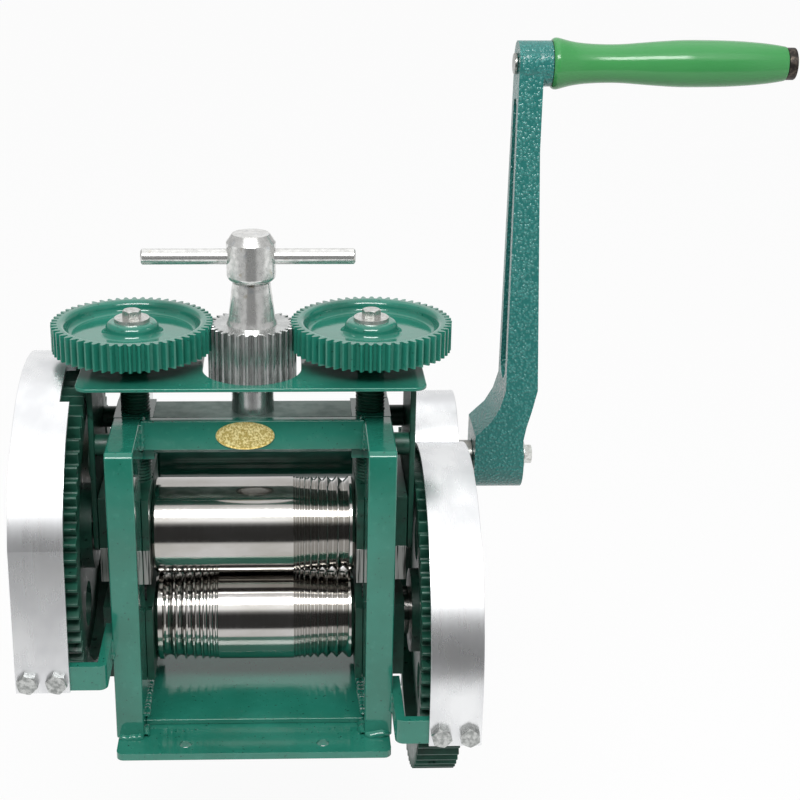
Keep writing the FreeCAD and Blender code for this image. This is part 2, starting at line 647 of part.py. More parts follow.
def drive_key(side, z):
    return on_side(key_x(DRIVE_X + KEY_INSET, DRIVE_OUT - KEY_INSET, 0, z, DRIVE_SEAT_R), side)


def drive_bolt(side, z):
    """The bolt and washer that hold a drive gear on its roll."""
    x0 = DRIVE_OUT
    x1 = x0 + CRANK_WASHER_T
    washer = rod_x(x0, x1, 0, z, DRIVE_WASHER_R).cut(rod_x(x0, x1, 0, z, CRANK_BOLT_R + SEAT_FIT))
    screw = bolt(V(x1, 0, z), V(1, 0, 0), CRANK_BOLT_R, CRANK_BOLT_L, CRANK_BOLT_AF, CRANK_BOLT_HEAD)
    return [on_side(screw, side), on_side(washer, side)]


def crank_bush(side):
    """A flanged bush pressed into a rear ear."""
    r = SHAFT_R + BUSH_WALL
    x1 = SIDE_OUT
    x2 = x1 + CRANK_BUSH_FLANGE
    solid = rod_x(SIDE_IN, x1, CRANK_Y, CRANK_Z, r).fuse(rod_x(x1, x2, CRANK_Y, CRANK_Z, r + BUSH_WALL))
    return on_side(solid.cut(rod_x(SIDE_IN, x2, CRANK_Y, CRANK_Z, SHAFT_R + RUN_FIT)), side)


def crank_pinion(side):
    """A pinion with a boss that runs against the crank bush. It is pressed on the shaft."""
    x0, x1 = DRIVE_X, DRIVE_OUT
    boss_x = SIDE_OUT + CRANK_BUSH_FLANGE + END_FIT
    gear = gear_x(PINION_TEETH, 0.0, x0, x1, CRANK_Y, CRANK_Z)
    gear = gear.fuse(rod_x(boss_x, x0, CRANK_Y, CRANK_Z, PINION_BOSS_R)).removeSplitter()
    gear = gear.cut(rod_x(boss_x, x1, CRANK_Y, CRANK_Z, SHAFT_R))
    return on_side(gear, side)


def crank_shaft():
    solid = rod_x(-DRIVE_OUT, CRANK_HUB_IN, CRANK_Y, CRANK_Z, SHAFT_R)
    seat_end = CRANK_HUB_OUT - CRANK_SEAT_END
    solid = solid.fuse(rod_x(CRANK_HUB_IN, seat_end, CRANK_Y, CRANK_Z, CRANK_SEAT_R))
    tapped = rod_x(seat_end - CRANK_BOLT_L, seat_end, CRANK_Y, CRANK_Z, CRANK_BOLT_R + SEAT_FIT)
    return solid.cut(tapped).cut(crank_key()).removeSplitter()


def crank_key():
    x0, x1 = CRANK_HUB_IN + CRANK_KEY_INSET, CRANK_HUB_OUT - CRANK_KEY_INSET
    return key_x(x0, x1, CRANK_Y, CRANK_Z, CRANK_SEAT_R)


def idler_pin():
    x1 = SIDE_OUT
    end = DRIVE_OUT + END_FIT
    pin = rod_x(SIDE_IN, end, *IDLER_YZ, IDLER_PIN_R)
    pin = pin.fuse(rod_x(x1, DRIVE_X - END_FIT, *IDLER_YZ, IDLER_COLLAR_R))
    return pin.cut(rod_x(end - IDLER_BOLT_L, end, *IDLER_YZ, GUARD_BOLT_R + SEAT_FIT)).removeSplitter()


def idler_gear():
    x0, x1 = DRIVE_X, DRIVE_OUT
    gear = gear_x(PINION_TEETH, IDLER_PHASE, x0, x1, *IDLER_YZ)
    return gear.cut(rod_x(x0, x1, *IDLER_YZ, IDLER_PIN_R + RUN_FIT))


def idler_bolt():
    """The bolt and washer that keep the idler on its pin."""
    x0 = DRIVE_OUT + END_FIT
    x1 = x0 + IDLER_WASHER_T
    washer = rod_x(x0, x1, *IDLER_YZ, IDLER_COLLAR_R).cut(rod_x(x0, x1, *IDLER_YZ, GUARD_BOLT_R + SEAT_FIT))
    screw = bolt(V(x1, *IDLER_YZ), V(1, 0, 0), GUARD_BOLT_R, IDLER_BOLT_L, GUARD_BOLT_AF, GUARD_BOLT_HEAD)
    return [screw, washer]


# ---- crank arm and grip --------------------------------------------------------------------------
def crank_arm():
    """A cast arm with a hub, an outward crank at its foot, recessed faces and a boss for the grip."""
    top_z = CRANK_Z + CRANK_ARM
    foot_z = CRANK_Z + CRANK_HUB_R
    foot_out, head_out = ARM_IN + ARM_FOOT_T, ARM_IN + ARM_HEAD_T
    front = [(CRANK_HUB_IN, CRANK_Z)]
    front += [(CRANK_HUB_IN + x, foot_z + z) for x, z in ARM_INNER_CURVE]
    front += [(ARM_IN, foot_z + ARM_FOOT_H), (ARM_IN, top_z)]
    front += [(head_out, top_z), (head_out, top_z - ARM_HEAD_H),
              (foot_out - ARM_TAPER[0], foot_z + ARM_TAPER[1]), (foot_out, foot_z + ARM_FOOT_H)]
    front += [(foot_out - x, foot_z + z) for x, z in ARM_OUTER_CURVE]
    front += [(CRANK_HUB_OUT - CRANK_SEAT_END, CRANK_Z)]
    slab = polygon_y(front, CRANK_Y - CRANK_HUB_R - CUT, CRANK_Y + CRANK_HUB_R + CUT)
    arm = slab.common(arm_outline(CRANK_HUB_R, BOSS_R - ARM_TOP_INSET, CRANK_Z, top_z))
    arm = arm.fuse([rod_x(CRANK_HUB_IN, CRANK_HUB_OUT, CRANK_Y, CRANK_Z, CRANK_HUB_R),
                    rod_x(ARM_IN, BOSS_OUT, CRANK_Y, top_z, BOSS_R)]).removeSplitter()
    recess = arm_outline(CRANK_HUB_R - ARM_FLANGE_FOOT, BOSS_R - ARM_FLANGE_HEAD,
                         foot_z + ARM_RECESS_FOOT, top_z - ARM_RECESS_HEAD)
    arm = arm.cut(recess.common(block(ARM_IN - CUT, ARM_IN + ARM_RECESS, 0, FAR, 0, FAR)))
    arm = arm.cut(recess.common(block(head_out - ARM_RECESS_OUTER, FAR, 0, FAR, 0, FAR)))
    arm = arm.cut(rod_x(CRANK_HUB_IN, CRANK_HUB_OUT, CRANK_Y, CRANK_Z, CRANK_SEAT_R + SEAT_FIT))
    arm = arm.cut(rod_x(ARM_IN, BOSS_OUT, CRANK_Y, top_z, GRIP_BOLT_R + SEAT_FIT))
    return arm.cut(key_x(CRANK_HUB_IN, CRANK_HUB_OUT, CRANK_Y, CRANK_Z, CRANK_SEAT_R))


def arm_outline(r0, r1, z0, z1):
    """The hull of two discs on the arm's line, through the arm's whole width."""
    x0, x1 = CRANK_HUB_IN - CUT, ARM_IN + ARM_FOOT_T + CUT
    slope = math.asin((r0 - r1) / (z1 - z0))
    c, s = math.cos(slope), math.sin(slope)
    points = [(CRANK_Y - r0 * c, z0 + r0 * s), (CRANK_Y - r1 * c, z1 + r1 * s),
              (CRANK_Y + r1 * c, z1 + r1 * s), (CRANK_Y + r0 * c, z0 + r0 * s)]
    hull = polygon_x(points, x0, x1)
    return hull.fuse([rod_x(x0, x1, CRANK_Y, z0, r0), rod_x(x0, x1, CRANK_Y, z1, r1)]).removeSplitter()


def crank_bolt():
    """The bolt and washer that hold the crank arm on its shaft."""
    x0, x1 = CRANK_HUB_OUT, CRANK_HUB_OUT + CRANK_WASHER_T
    washer = rod_x(x0, x1, *CRANK_YZ, CRANK_WASHER_R).cut(rod_x(x0, x1, *CRANK_YZ, CRANK_BOLT_R + SEAT_FIT))
    screw = bolt(V(x1, *CRANK_YZ), V(1, 0, 0), CRANK_BOLT_R, CRANK_BOLT_L, CRANK_BOLT_AF, CRANK_BOLT_HEAD)
    return [screw, washer]


GRIP_Z = CRANK_Z + CRANK_ARM
GRIP_X = BOSS_OUT + GRIP_END_PLAY


def grip():
    """A turned grip that spins on its bolt."""
    outline = [V(x, r, 0) for x, r in GRIP_PROFILE]
    edges = [spline_edge(outline)]
    end = outline[-1]
    edges.append(Part.LineSegment(end, V(end.x, 0, 0)).toShape())
    edges.append(Part.LineSegment(V(end.x, 0, 0), V(0, 0, 0)).toShape())
    edges.append(Part.LineSegment(V(0, 0, 0), outline[0]).toShape())
    solid = revolve_x(Part.Wire(edges), CRANK_Y, GRIP_Z)
    solid.translate(V(GRIP_X, 0, 0))
    return solid.cut(rod_x(GRIP_X, GRIP_X + GRIP_L, CRANK_Y, GRIP_Z, GRIP_BOLT_R + RUN_FIT))


def grip_bolt():
    end = GRIP_X + GRIP_L + GRIP_END_PLAY + GRIP_NUT_T - GRIP_NUT_CAP
    head = rod_x(ARM_IN - GRIP_HEAD_T, ARM_IN, CRANK_Y, GRIP_Z, GRIP_HEAD_R)
    return rod_x(ARM_IN, end, CRANK_Y, GRIP_Z, GRIP_BOLT_R).fuse(head).removeSplitter()


def grip_nut():
    """A round cap nut on the end of the grip's bolt."""
    x0 = GRIP_X + GRIP_L + GRIP_END_PLAY
    nut = rod_x(x0, x0 + GRIP_NUT_T, CRANK_Y, GRIP_Z, GRIP_NUT_R)
    return nut.cut(rod_x(x0, x0 + GRIP_NUT_T - GRIP_NUT_CAP, CRANK_Y, GRIP_Z, GRIP_BOLT_R + SEAT_FIT))


# ---- screws, top gears and T-handle --------------------------------------------------------------
def adjusting_screw(side):
    z0 = UPPER_BLOCK_TOP - POCKET_DEPTH + END_FIT
    screw = rod_z(z0, TOP_GEAR_Z0, side * SCREW_X, 0, SCREW_R)
    neck_top = TOP_GEAR_Z0 + TOP_GEAR_FACE - END_FIT
    screw = screw.fuse(rod_z(TOP_GEAR_Z0, neck_top, side * SCREW_X, 0, SCREW_NECK_R))
    screw = screw.cut(rod_z(neck_top - TOP_BOLT_L, neck_top, side * SCREW_X, 0, TOP_BOLT_R + SEAT_FIT))
    return screw.cut(top_key(side)).removeSplitter()


def top_key(side):
    x, y = side * SCREW_X, -SCREW_NECK_R
    half = TOP_KEY_W / 2
    z0, z1 = TOP_GEAR_Z0 + TOP_KEY_INSET, TOP_GEAR_Z0 + TOP_GEAR_FACE - TOP_KEY_INSET
    return block(x - half, x + half, y - half, y + half, z0, z1)


def top_gear(side):
    """A gear keyed on a screw, with a recessed web between its rim and hub."""
    pitch = 2 * math.pi / TOP_TEETH
    facing = math.pi if side > 0 else 0.0
    faces_tooth = side > 0 or CENTRE_TEETH % 2 == 0
    phase = facing + pitch / 2 if faces_tooth else facing
    gear = gear_disc(TOP_TEETH, TOP_MODULE, TOP_PRESSURE, TOP_GEAR_FACE, phase)
    top = TOP_GEAR_FACE
    rim_in = TOP_MODULE * (TOP_TEETH - 2.5) / 2 - TOP_GEAR_RIM
    ring = rod_z(top - TOP_GEAR_RECESS, top, 0, 0, rim_in)
    ring = ring.cut(rod_z(top - TOP_GEAR_RECESS, top, 0, 0, TOP_GEAR_HUB_R))
    gear = gear.cut(ring)
    gear = gear.cut(rod_z(0, top, 0, 0, SCREW_NECK_R + SEAT_FIT))
    gear.translate(V(side * SCREW_X, 0, TOP_GEAR_Z0))
    return gear.cut(top_key(side))


def top_bolt(side):
    """The bolt and washer that hold a top gear on its screw."""
    x = side * SCREW_X
    z0 = TOP_GEAR_Z0 + TOP_GEAR_FACE
    z1 = z0 + TOP_WASHER_T
    washer = rod_z(z0, z1, x, 0, TOP_WASHER_R).cut(rod_z(z0, z1, x, 0, TOP_BOLT_R + SEAT_FIT))
    screw = bolt(V(x, 0, z1), V(0, 0, 1), TOP_BOLT_R, TOP_BOLT_L, TOP_BOLT_AF, TOP_BOLT_HEAD)
    return [screw, washer]


def collar_z0():
    """The collar's underside. Its top face carries the T-handle against the roof of the beam's pocket."""
    return BEAM_Z0 + BEAM_POCKET_H - END_FIT - SPINDLE_COLLAR_H


def centre_spindle():
    """The spindle under the T-handle. Its pinion is cut in one piece with it."""
    solid = rod_z(collar_z0(), SPINDLE_TOP, 0, 0, SPINDLE_R)
    shoulder = rod_z(FRAME_TOP + END_FIT, CENTRE_PINION_Z0, 0, 0, SPINDLE_SHOULDER_R)
    return solid.fuse([shoulder, centre_pinion()]).removeSplitter()


def spindle_collar():
    z0, z1 = collar_z0(), collar_z0() + SPINDLE_COLLAR_H
    return rod_z(z0, z1, 0, 0, SPINDLE_COLLAR_R).cut(rod_z(z0, z1, 0, 0, SPINDLE_R + SEAT_FIT))


def centre_pinion():
    height = CENTRE_PINION_Z1 - CENTRE_PINION_Z0
    gear = gear_disc(CENTRE_TEETH, TOP_MODULE, TOP_PRESSURE, height, 0.0)
    gear.translate(V(0, 0, CENTRE_PINION_Z0))
    return gear


def handle_head():
    """The turned head of the T-handle: skirt, tapered neck, groove and a barrel with a chamfered top."""
    z0, top = CENTRE_PINION_Z1, HEAD_Z0 + HEAD_H
    profile = [(0, z0), (HEAD_FOOT_R, z0), (HEAD_SKIRT_R, z0 + HEAD_SKIRT_H),
               (HEAD_NECK_R, HEAD_Z0 - HEAD_GROOVE_H), (HEAD_GROOVE_R, HEAD_Z0 - HEAD_GROOVE_H),
               (HEAD_GROOVE_R, HEAD_Z0), (HEAD_R, HEAD_Z0), (HEAD_R, top - HEAD_CHAMFER_H),
               (HEAD_TOP_R, top), (0, top), (0, z0)]
    wire = Part.makePolygon([V(r, 0, z) for r, z in profile])
    head = Part.Face(wire).revolve(V(0, 0, 0), V(0, 0, 1), 360)
    circles = [edge for edge in head.Edges if isinstance(edge.Curve, Part.Circle)]
    base = [edge for edge in circles
            if abs(edge.CenterOfMass.z - HEAD_Z0) < 0.01 and abs(edge.Curve.Radius - HEAD_R) < 0.01]
    head = head.makeFillet(HEAD_BASE_FILLET, base)
    head = head.cut(rod_z(z0, SPINDLE_TOP, 0, 0, SPINDLE_R + SEAT_FIT))
    return head.cut(rod_x(-HEAD_R - CUT, HEAD_R + CUT, 0, BAR_Z, BAR_R))


def tommy_bar():
    bar = rod_x(BAR_OFFSET - BAR_L / 2, BAR_OFFSET + BAR_L / 2, 0, BAR_Z, BAR_R)
    ends = [e for e in bar.Edges if isinstance(e.Curve, Part.Circle)]
    return bar.makeChamfer(BAR_CHAMFER, ends)


# ---- gear bridge and guards ----------------------------------------------------------------------
def gear_bridge():
    z0, z1 = BRIDGE_Z0, BRIDGE_Z0 + BRIDGE_T
    plate = block(-BRIDGE_HALF_X, BRIDGE_HALF_X, -BRIDGE_HALF_Y, BRIDGE_HALF_Y, z0, z1)
    plate = fillet_parallel(plate, V(0, 0, 1), BRIDGE_CORNER_R, lambda c: True)
    straight = BRIDGE_SLOT_HALF_Y - BRIDGE_SLOT_R
    slot = block(-BRIDGE_SLOT_R, BRIDGE_SLOT_R, -straight, straight, z0, z1)
    slot = slot.fuse([rod_z(z0, z1, 0, -straight, BRIDGE_SLOT_R), rod_z(z0, z1, 0, straight, BRIDGE_SLOT_R)])
    plate = plate.cut(slot)
    for side in (-1, 1):
        plate = plate.cut(rod_z(z0, z1, side * SCREW_X, 0, SCREW_R + BRIDGE_SCREW_GAP))
    return plate


def bridge_leg(side):
    """A forked plate that carries the bridge and straddles the upper journal."""
    x0, x1 = LEG_IN, LEG_IN + LEG_T
    leg = block(x0, x1, -LEG_HALF_Y, LEG_HALF_Y, LEG_Z0, BRIDGE_Z0)
    leg = fillet_parallel(leg, V(1, 0, 0), LEG_CORNER_R, lambda c: c.z < LEG_Z0 + CUT)
    slot_top = UPPER_Z + LIFT_MAX + CUT
    leg = leg.cut(block(x0, x1, -LEG_SLOT_HALF_Y, LEG_SLOT_HALF_Y, LEG_Z0 - CUT, slot_top))
    leg = leg.cut(rod_x(x0, x1, 0, slot_top, LEG_SLOT_HALF_Y))
    return on_side(leg.removeSplitter(), side)


def bridge_standoffs():
    return [on_side(rod_x(SIDE_OUT, LEG_IN, y, STANDOFF_Z, STANDOFF_R), side)
            for side in (-1, 1) for y in (-STANDOFF_Y, STANDOFF_Y)]


def guard_front(side, thickness):
    """The strap's front in (y, z), moved out by thickness: where its arc ends and where it turns upright."""
    zc, r = GUARD_CENTRE_Z[side], GUARD_R + thickness
    bend = math.sqrt(GUARD_R ** 2 - GUARD_BEND[side] ** 2)
    upright_z = GUARD_FRONT_Z[side] + BRACKET_H + CUT
    lean = math.atan2(GUARD_R - bend, zc + GUARD_BEND[side] - upright_z)
    upright = (-r, upright_z + thickness * math.tan(lean / 2))
    offset = -upright[0] * math.cos(lean) + (upright[1] - zc) * math.sin(lean)
    chord = math.sqrt(max(0.0, r ** 2 - offset ** 2))
    corner = (-offset * math.cos(lean) + chord * math.sin(lean),
              zc + offset * math.sin(lean) + chord * math.cos(lean))
    return corner, upright


def guard_region(side, thickness, x0, x1, drop):
    """The space over a gear and its pinion, swelled by thickness and ending a drop under the strap's ends."""
    zc = GUARD_CENTRE_Z[side]
    hy, hz = HUMP_CENTRE[side]
    r, h = GUARD_R + thickness, HUMP_R[side] + thickness
    front_z, rear_z = GUARD_FRONT_Z[side] - drop, GUARD_REAR_Z - drop
    corner, upright = guard_front(side, thickness)
    arc = rod_x(x0, x1, 0, zc, r).cut([block(x0, x1, -r, 0, zc - r, corner[1]),
                                       block(x0, x1, 0, r, zc - r, rear_z)])
    front = polygon_x([corner, upright, (-r, front_z), (0, front_z), (0, corner[1])], x0, x1)
    return arc.fuse([front, rod_x(x0, x1, hy, hz, h), block(x0, x1, 0, hy + h, rear_z, hz)])


def guard_strap(side):
    """A flat strap bent over a drive gear and, behind it, over the pinion."""
    x0 = GUARD_X[side]
    x1 = x0 + GUARD_W
    strap = guard_region(side, GUARD_T, x0, x1, 0).cut(guard_region(side, 0, x0 - CUT, x1 + CUT, CUT))
    under_hump = block(x0, x1, 0, FAR, GUARD_REAR_Z - FAR, GUARD_REAR_Z)
    strap = strap.cut(under_hump)
    if side < 0:
        zc = GUARD_CENTRE_Z[side]
        strap = strap.cut(block(x0 - CUT, x0 + NOTCH_DEPTH, NOTCH_Y0, NOTCH_Y1, zc, zc + GUARD_R + GUARD_T))
    for x, y, z in guard_bolt_places(side):
        strap = strap.cut(bolt_hole(x, y, z))
    return on_side(strap.removeSplitter(), side)


def bolt_hole(x, y, z):
    """A hole along Y through a strap and the bracket behind it."""
    reach = GUARD_T + BRACKET_T + CUT
    return rod_y(y - reach, y + reach, x, z, GUARD_BOLT_R + SEAT_FIT)


def guard_ends(side):
    """The inner Y of the strap at its front and rear ends."""
    return -GUARD_R, HUMP_CENTRE[side][0] + HUMP_R[side]


def guard_bolt_places(side):
    front, rear = guard_ends(side)
    places = []
    for i in range(2):
        x = GUARD_X[side] + GUARD_BOLT_INSET + i * GUARD_BOLT_PITCH
        places.append((x, front, GUARD_FRONT_Z[side] + GUARD_BOLT_UP))
        places.append((x, rear, GUARD_REAR_Z + GUARD_BOLT_UP))
    return places


def guard_bracket(side, at_front):
    """A flat bar that stands out from the side frame and turns behind the strap's end."""
    front, rear = guard_ends(side)
    x0, x1 = SIDE_OUT, GUARD_X[side] + GUARD_W
    z0 = GUARD_FRONT_Z[side] if at_front else GUARD_REAR_Z
    y, end = (front, BRACKET_FRONT_END_Y) if at_front else (rear, BRACKET_REAR_END_Y)
    back = y + (BRACKET_T if at_front else -BRACKET_T)
    bar = block(x0, x1, y, back, z0, z0 + BRACKET_H)
    bar = bar.fuse(block(x0, x0 + BRACKET_T, y, end, z0, z0 + BRACKET_H)).removeSplitter()
    bar = fillet_parallel(bar, V(0, 0, 1), BRACKET_BEND_R,
                          lambda c: abs(c.x - x0) < 0.01 and abs(c.y - y) < 0.01)
    for x, by, z in guard_bolt_places(side):
        if abs(by - y) < 0.01:
            bar = bar.cut(bolt_hole(x, by, z))
    return on_side(bar, side)


def guard_bolts():
    solids = []
    for side in (-1, 1):
        front, rear = guard_ends(side)
        for x, y, z in guard_bolt_places(side):
            out = -1 if y == front else 1
            seat = V(x, y + out * GUARD_T, z)
            grip_l = GUARD_T + BRACKET_T
            screw = bolt(seat, V(0, out, 0), GUARD_BOLT_R, grip_l, GUARD_BOLT_AF, GUARD_BOLT_HEAD)
            solids.append(on_side(screw, side))
    return solids


# ---- all pieces ----------------------------------------------------------------------------------
def pieces():
    """Every node's name with its solid or list of solids."""
    made = {
        "base_plate": base_plate(),
        "bottom_tie_plate": bottom_tie_plate(),
        "front_crossbar": front_crossbar(),
        "shaft_tube": shaft_tube(),
        "top_beam": top_beam(),
        "screw_nuts": [screw_nut(-1), screw_nut(1)],
        "oval_badge": badge(),
        "gear_bridge": gear_bridge(),
        "bridge_legs": [bridge_leg(-1), bridge_leg(1)],
        "bridge_standoffs": bridge_standoffs(),
        "guard_bolts": guard_bolts(),
        "lower_bushes": [bush(-1, LOWER_Z), bush(1, LOWER_Z)],
        "upper_bushes": [bush(-1, UPPER_Z), bush(1, UPPER_Z)],
        "block_bolts": block_bolts(),
        "lift_springs": [lift_spring(x, y) for x, y in spring_places()],
        "upper_roll": roll(UPPER_Z, -1, False),
        "lower_roll": roll(LOWER_Z, 1, True),
        "upper_drive_gear": drive_gear(-1, UPPER_Z, UPPER_GEAR_PHASE),
        "lower_drive_gear": drive_gear(1, LOWER_Z, LOWER_GEAR_PHASE),
        "upper_gear_key": drive_key(-1, UPPER_Z),
        "lower_gear_key": drive_key(1, LOWER_Z),
        "upper_gear_bolt": drive_bolt(-1, UPPER_Z),
        "lower_gear_bolt": drive_bolt(1, LOWER_Z),
        "crank_shaft": crank_shaft(),
        "crank_bushes": [crank_bush(-1), crank_bush(1)],
        "crank_pinions": [crank_pinion(-1), crank_pinion(1)],
        "idler_gear": idler_gear(),
        "idler_pin": idler_pin(),
        "idler_bolt": idler_bolt(),
        "crank_arm": crank_arm(),
        "crank_key": crank_key(),
        "crank_bolt": crank_bolt(),
        "grip": grip(),
        "grip_bolt": grip_bolt(),
        "grip_nut": grip_nut(),
        "centre_spindle": centre_spindle(),
        "spindle_collar": spindle_collar(),
        "handle_head": handle_head(),
        "tommy_bar": tommy_bar(),
    }
    for side, name in ((-1, "left"), (1, "right")):
        made["side_frame_" + name] = side_frame(side)
        made["guard_" + name] = guard_strap(side)
        made["guard_brackets_" + name] = [guard_bracket(side, True), guard_bracket(side, False)]
        made["lower_block_" + name] = lower_block(side)
        made["upper_block_" + name] = upper_block(side)
        made["upper_shoe_" + name] = upper_shoe(side)
        made["adjusting_screw_" + name] = adjusting_screw(side)
        made["top_gear_" + name] = top_gear(side)
        made["top_gear_key_" + name] = top_key(side)
        made["top_gear_bolt_" + name] = top_bolt(side)
    return made


def save(name, shape):
    solids = shape if isinstance(shape, list) else [shape]
    solids = [solid for item in solids for solid in item.Solids]
    for solid in solids:
        if not solid.isValid() or solid.Volume <= 0:
            raise ValueError("bad solid in " + name)
    whole = solids[0] if len(solids) == 1 else Part.makeCompound(solids)
    whole.exportStep("parts/" + name + ".step")
    print("%-24s %2d solids %12.1f mm3" % (name, len(solids), sum(s.Volume for s in solids)))


os.makedirs("parts", exist_ok=True)
for piece_name, piece_shape in pieces().items():
    save(piece_name, piece_shape)
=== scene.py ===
"""Finishes and small forms of the jewellers' rolling mill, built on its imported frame. Metres, Z up."""
import json
import math
import random

import bmesh
import bpy
from mathutils import Matrix, Vector


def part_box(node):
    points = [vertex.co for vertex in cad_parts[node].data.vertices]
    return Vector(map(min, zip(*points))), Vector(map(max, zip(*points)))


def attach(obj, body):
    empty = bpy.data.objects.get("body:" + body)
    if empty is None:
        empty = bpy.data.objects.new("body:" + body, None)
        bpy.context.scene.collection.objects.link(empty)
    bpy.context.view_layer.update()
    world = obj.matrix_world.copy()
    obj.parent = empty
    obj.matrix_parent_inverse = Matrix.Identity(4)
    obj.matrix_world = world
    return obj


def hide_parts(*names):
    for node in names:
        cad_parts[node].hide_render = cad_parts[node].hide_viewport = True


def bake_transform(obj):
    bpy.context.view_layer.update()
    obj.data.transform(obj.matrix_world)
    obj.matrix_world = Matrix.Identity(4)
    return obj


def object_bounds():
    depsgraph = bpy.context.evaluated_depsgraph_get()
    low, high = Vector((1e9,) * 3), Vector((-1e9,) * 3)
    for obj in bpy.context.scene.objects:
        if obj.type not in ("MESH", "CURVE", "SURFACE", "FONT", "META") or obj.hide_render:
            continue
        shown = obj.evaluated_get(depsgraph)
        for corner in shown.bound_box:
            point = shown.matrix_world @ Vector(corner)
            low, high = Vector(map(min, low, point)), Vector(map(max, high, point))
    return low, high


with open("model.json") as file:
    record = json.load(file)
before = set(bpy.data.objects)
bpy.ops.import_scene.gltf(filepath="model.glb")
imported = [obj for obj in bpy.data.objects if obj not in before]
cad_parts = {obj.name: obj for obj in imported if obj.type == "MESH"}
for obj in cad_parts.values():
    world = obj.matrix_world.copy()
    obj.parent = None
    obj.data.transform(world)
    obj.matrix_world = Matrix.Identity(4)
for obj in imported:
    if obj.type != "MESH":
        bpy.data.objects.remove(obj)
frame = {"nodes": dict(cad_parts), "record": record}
CAD_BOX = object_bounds()

NODES = frame["nodes"]
SLOT_OF = {part["node"]: part["material_slot"] for part in frame["record"]["subparts"]}
BODY_OF = {name: body for body, names in frame["record"]["behaviour"]["bodies"].items() for name in names}
scene = bpy.context.scene

MM = 0.001
MERGE = 2e-6            # metres: points nearer than this become one
SAME_LEVEL = 1e-5       # metres: points nearer in height than this lie level

# ---- sizes of the forms made here, in millimetres ------------------------------------------------
ROLL_HALF = 56.0
ROLL_R = 27.0
ROLL_CHAMFER = 1.5
JOURNAL_R = 14.0
JOURNAL_END = 82.0      # from the middle of the mill, on the side without a gear
JOURNAL_CHAMFER = 0.6
GEAR_SEAT_X = 89.0      # where the journal steps down to its gear's seat
GEAR_SEAT_R = 11.0
V_GROOVE_X = 22.0
V_GROOVE_WIDTHS = (1.2, 1.8, 2.5, 3.2, 4.0, 4.8, 5.6, 6.2)
V_GROOVE_LAND = 0.25
V_GROOVE_SLOPE = 0.5    # full depth over width
V_GROOVE_SHAPE = ((0.0, 0.0), (0.47, 0.94), (0.53, 0.94), (1.0, 0.0))   # shares of the width and full depth
D_GROOVE_X = -52.0
D_GROOVE_WIDTHS = (6.0, 5.2, 4.4, 3.7, 3.0, 2.4, 1.8)
D_GROOVE_LAND = 0.8
D_GROOVE_SLOPE = 0.42   # depth over width
SCREW_R = 8.0
SCREW_CORE_R = 7.0
THREAD_PITCH = 2.0
THREAD_DEPTH = 0.9
THREAD_CREST = (0.42, 0.58)     # where the crest starts and ends, as shares of the pitch
THREAD_END_Z = 208.5
SPRING_OUTER_R = 4.9
SPRING_WIRE_R = 0.7
SPRING_TURNS = 5
TOP_GEAR_CORNER = 0.35
TOP_GEAR_RECESS_R = (14.3, 35.625)
RECESS_MISS = 0.2       # an edge's ends lie nearer than this to the recess's radius
THICK_PAINT = 3.4       # rounding where paint lies thick
GUARD_CORNER = 0.35

# ---- how finely round forms are cut --------------------------------------------------------------
ROLL_STEPS = 160
D_GROOVE_STEPS = 8
THICK_PAINT_STEPS = 6
THREAD_STEPS = 28
SCREW_CORE_STEPS = 32
HEAD_STEPS = 48
WASHER_STEPS = 40
SPRING_STEPS = 24
SPRING_WIRE_STEPS = 10
BADGE_STEPS = 64
WELD_STEPS = 8
WELD_SMOOTHING = 2

# ---- angles in degrees ---------------------------------------------------------------------------
FLAT_DEG = 0.4          # triangles that bend less than this are joined into one face
CORNER_DEG = 28.0       # edges that bend more than this are rounded
GUARD_SHARP_DEG = 10.0
HEAD_CHAMFER_DEG = 30.0


# ---- material tools ------------------------------------------------------------------------------
def linear(hex_colour):
    """An sRGB hex colour as the linear RGBA that a socket takes."""
    channels = [int(hex_colour[i:i + 2], 16) / 255 for i in (1, 3, 5)]
    straight = [c / 12.92 if c <= 0.04045 else ((c + 0.055) / 1.055) ** 2.4 for c in channels]
    return (*straight, 1.0)


def add(tree, kind, settings=None, links=None):
    """A node of a kind, with its settings and its links, each by socket name or number."""
    made = tree.nodes.new("ShaderNode" + kind)
    for name, value in (settings or {}).items():
        if isinstance(name, int) or name in made.inputs:
            made.inputs[name].default_value = value
        else:
            setattr(made, name, value)
    for name, source in (links or {}).items():
        tree.links.new(source, made.inputs[name])
    return made


def empty_tree(owner):
    """The node tree of a material or world, cleared."""
    owner.use_nodes = True
    owner.node_tree.nodes.clear()
    return owner.node_tree


def finish_of(name, settings):
    """A new material: its tree, its shader and the object coordinates in metres."""
    material = bpy.data.materials.new(name)
    tree = empty_tree(material)
    shader = add(tree, "BsdfPrincipled", settings)
    add(tree, "OutputMaterial", links={"Surface": shader.outputs[0]})
    place = add(tree, "TexCoord").outputs["Object"]
    return material, tree, shader, place


def grain(tree, place, size_mm, stretch=(1, 1, 1), detail=2.0, rough=0.5):
    """Noise with features about size_mm across, stretched along the axes."""
    scale = [1 / (size_mm * MM * s) for s in stretch]
    spread = add(tree, "Mapping", {"Scale": scale}, {"Vector": place})
    settings = {"Scale": 1.0, "Detail": detail, "Roughness": rough}
    return add(tree, "TexNoise", settings, {"Vector": spread.outputs[0]}).outputs[0]


def span(tree, value, low, high, out_low, out_high, course="LINEAR"):
    """A value's range stretched to another range and held at its ends."""
    settings = {"interpolation_type": course, "From Min": low, "From Max": high,
                "To Min": out_low, "To Max": out_high}
    return add(tree, "MapRange", settings, {"Value": value}).outputs[0]


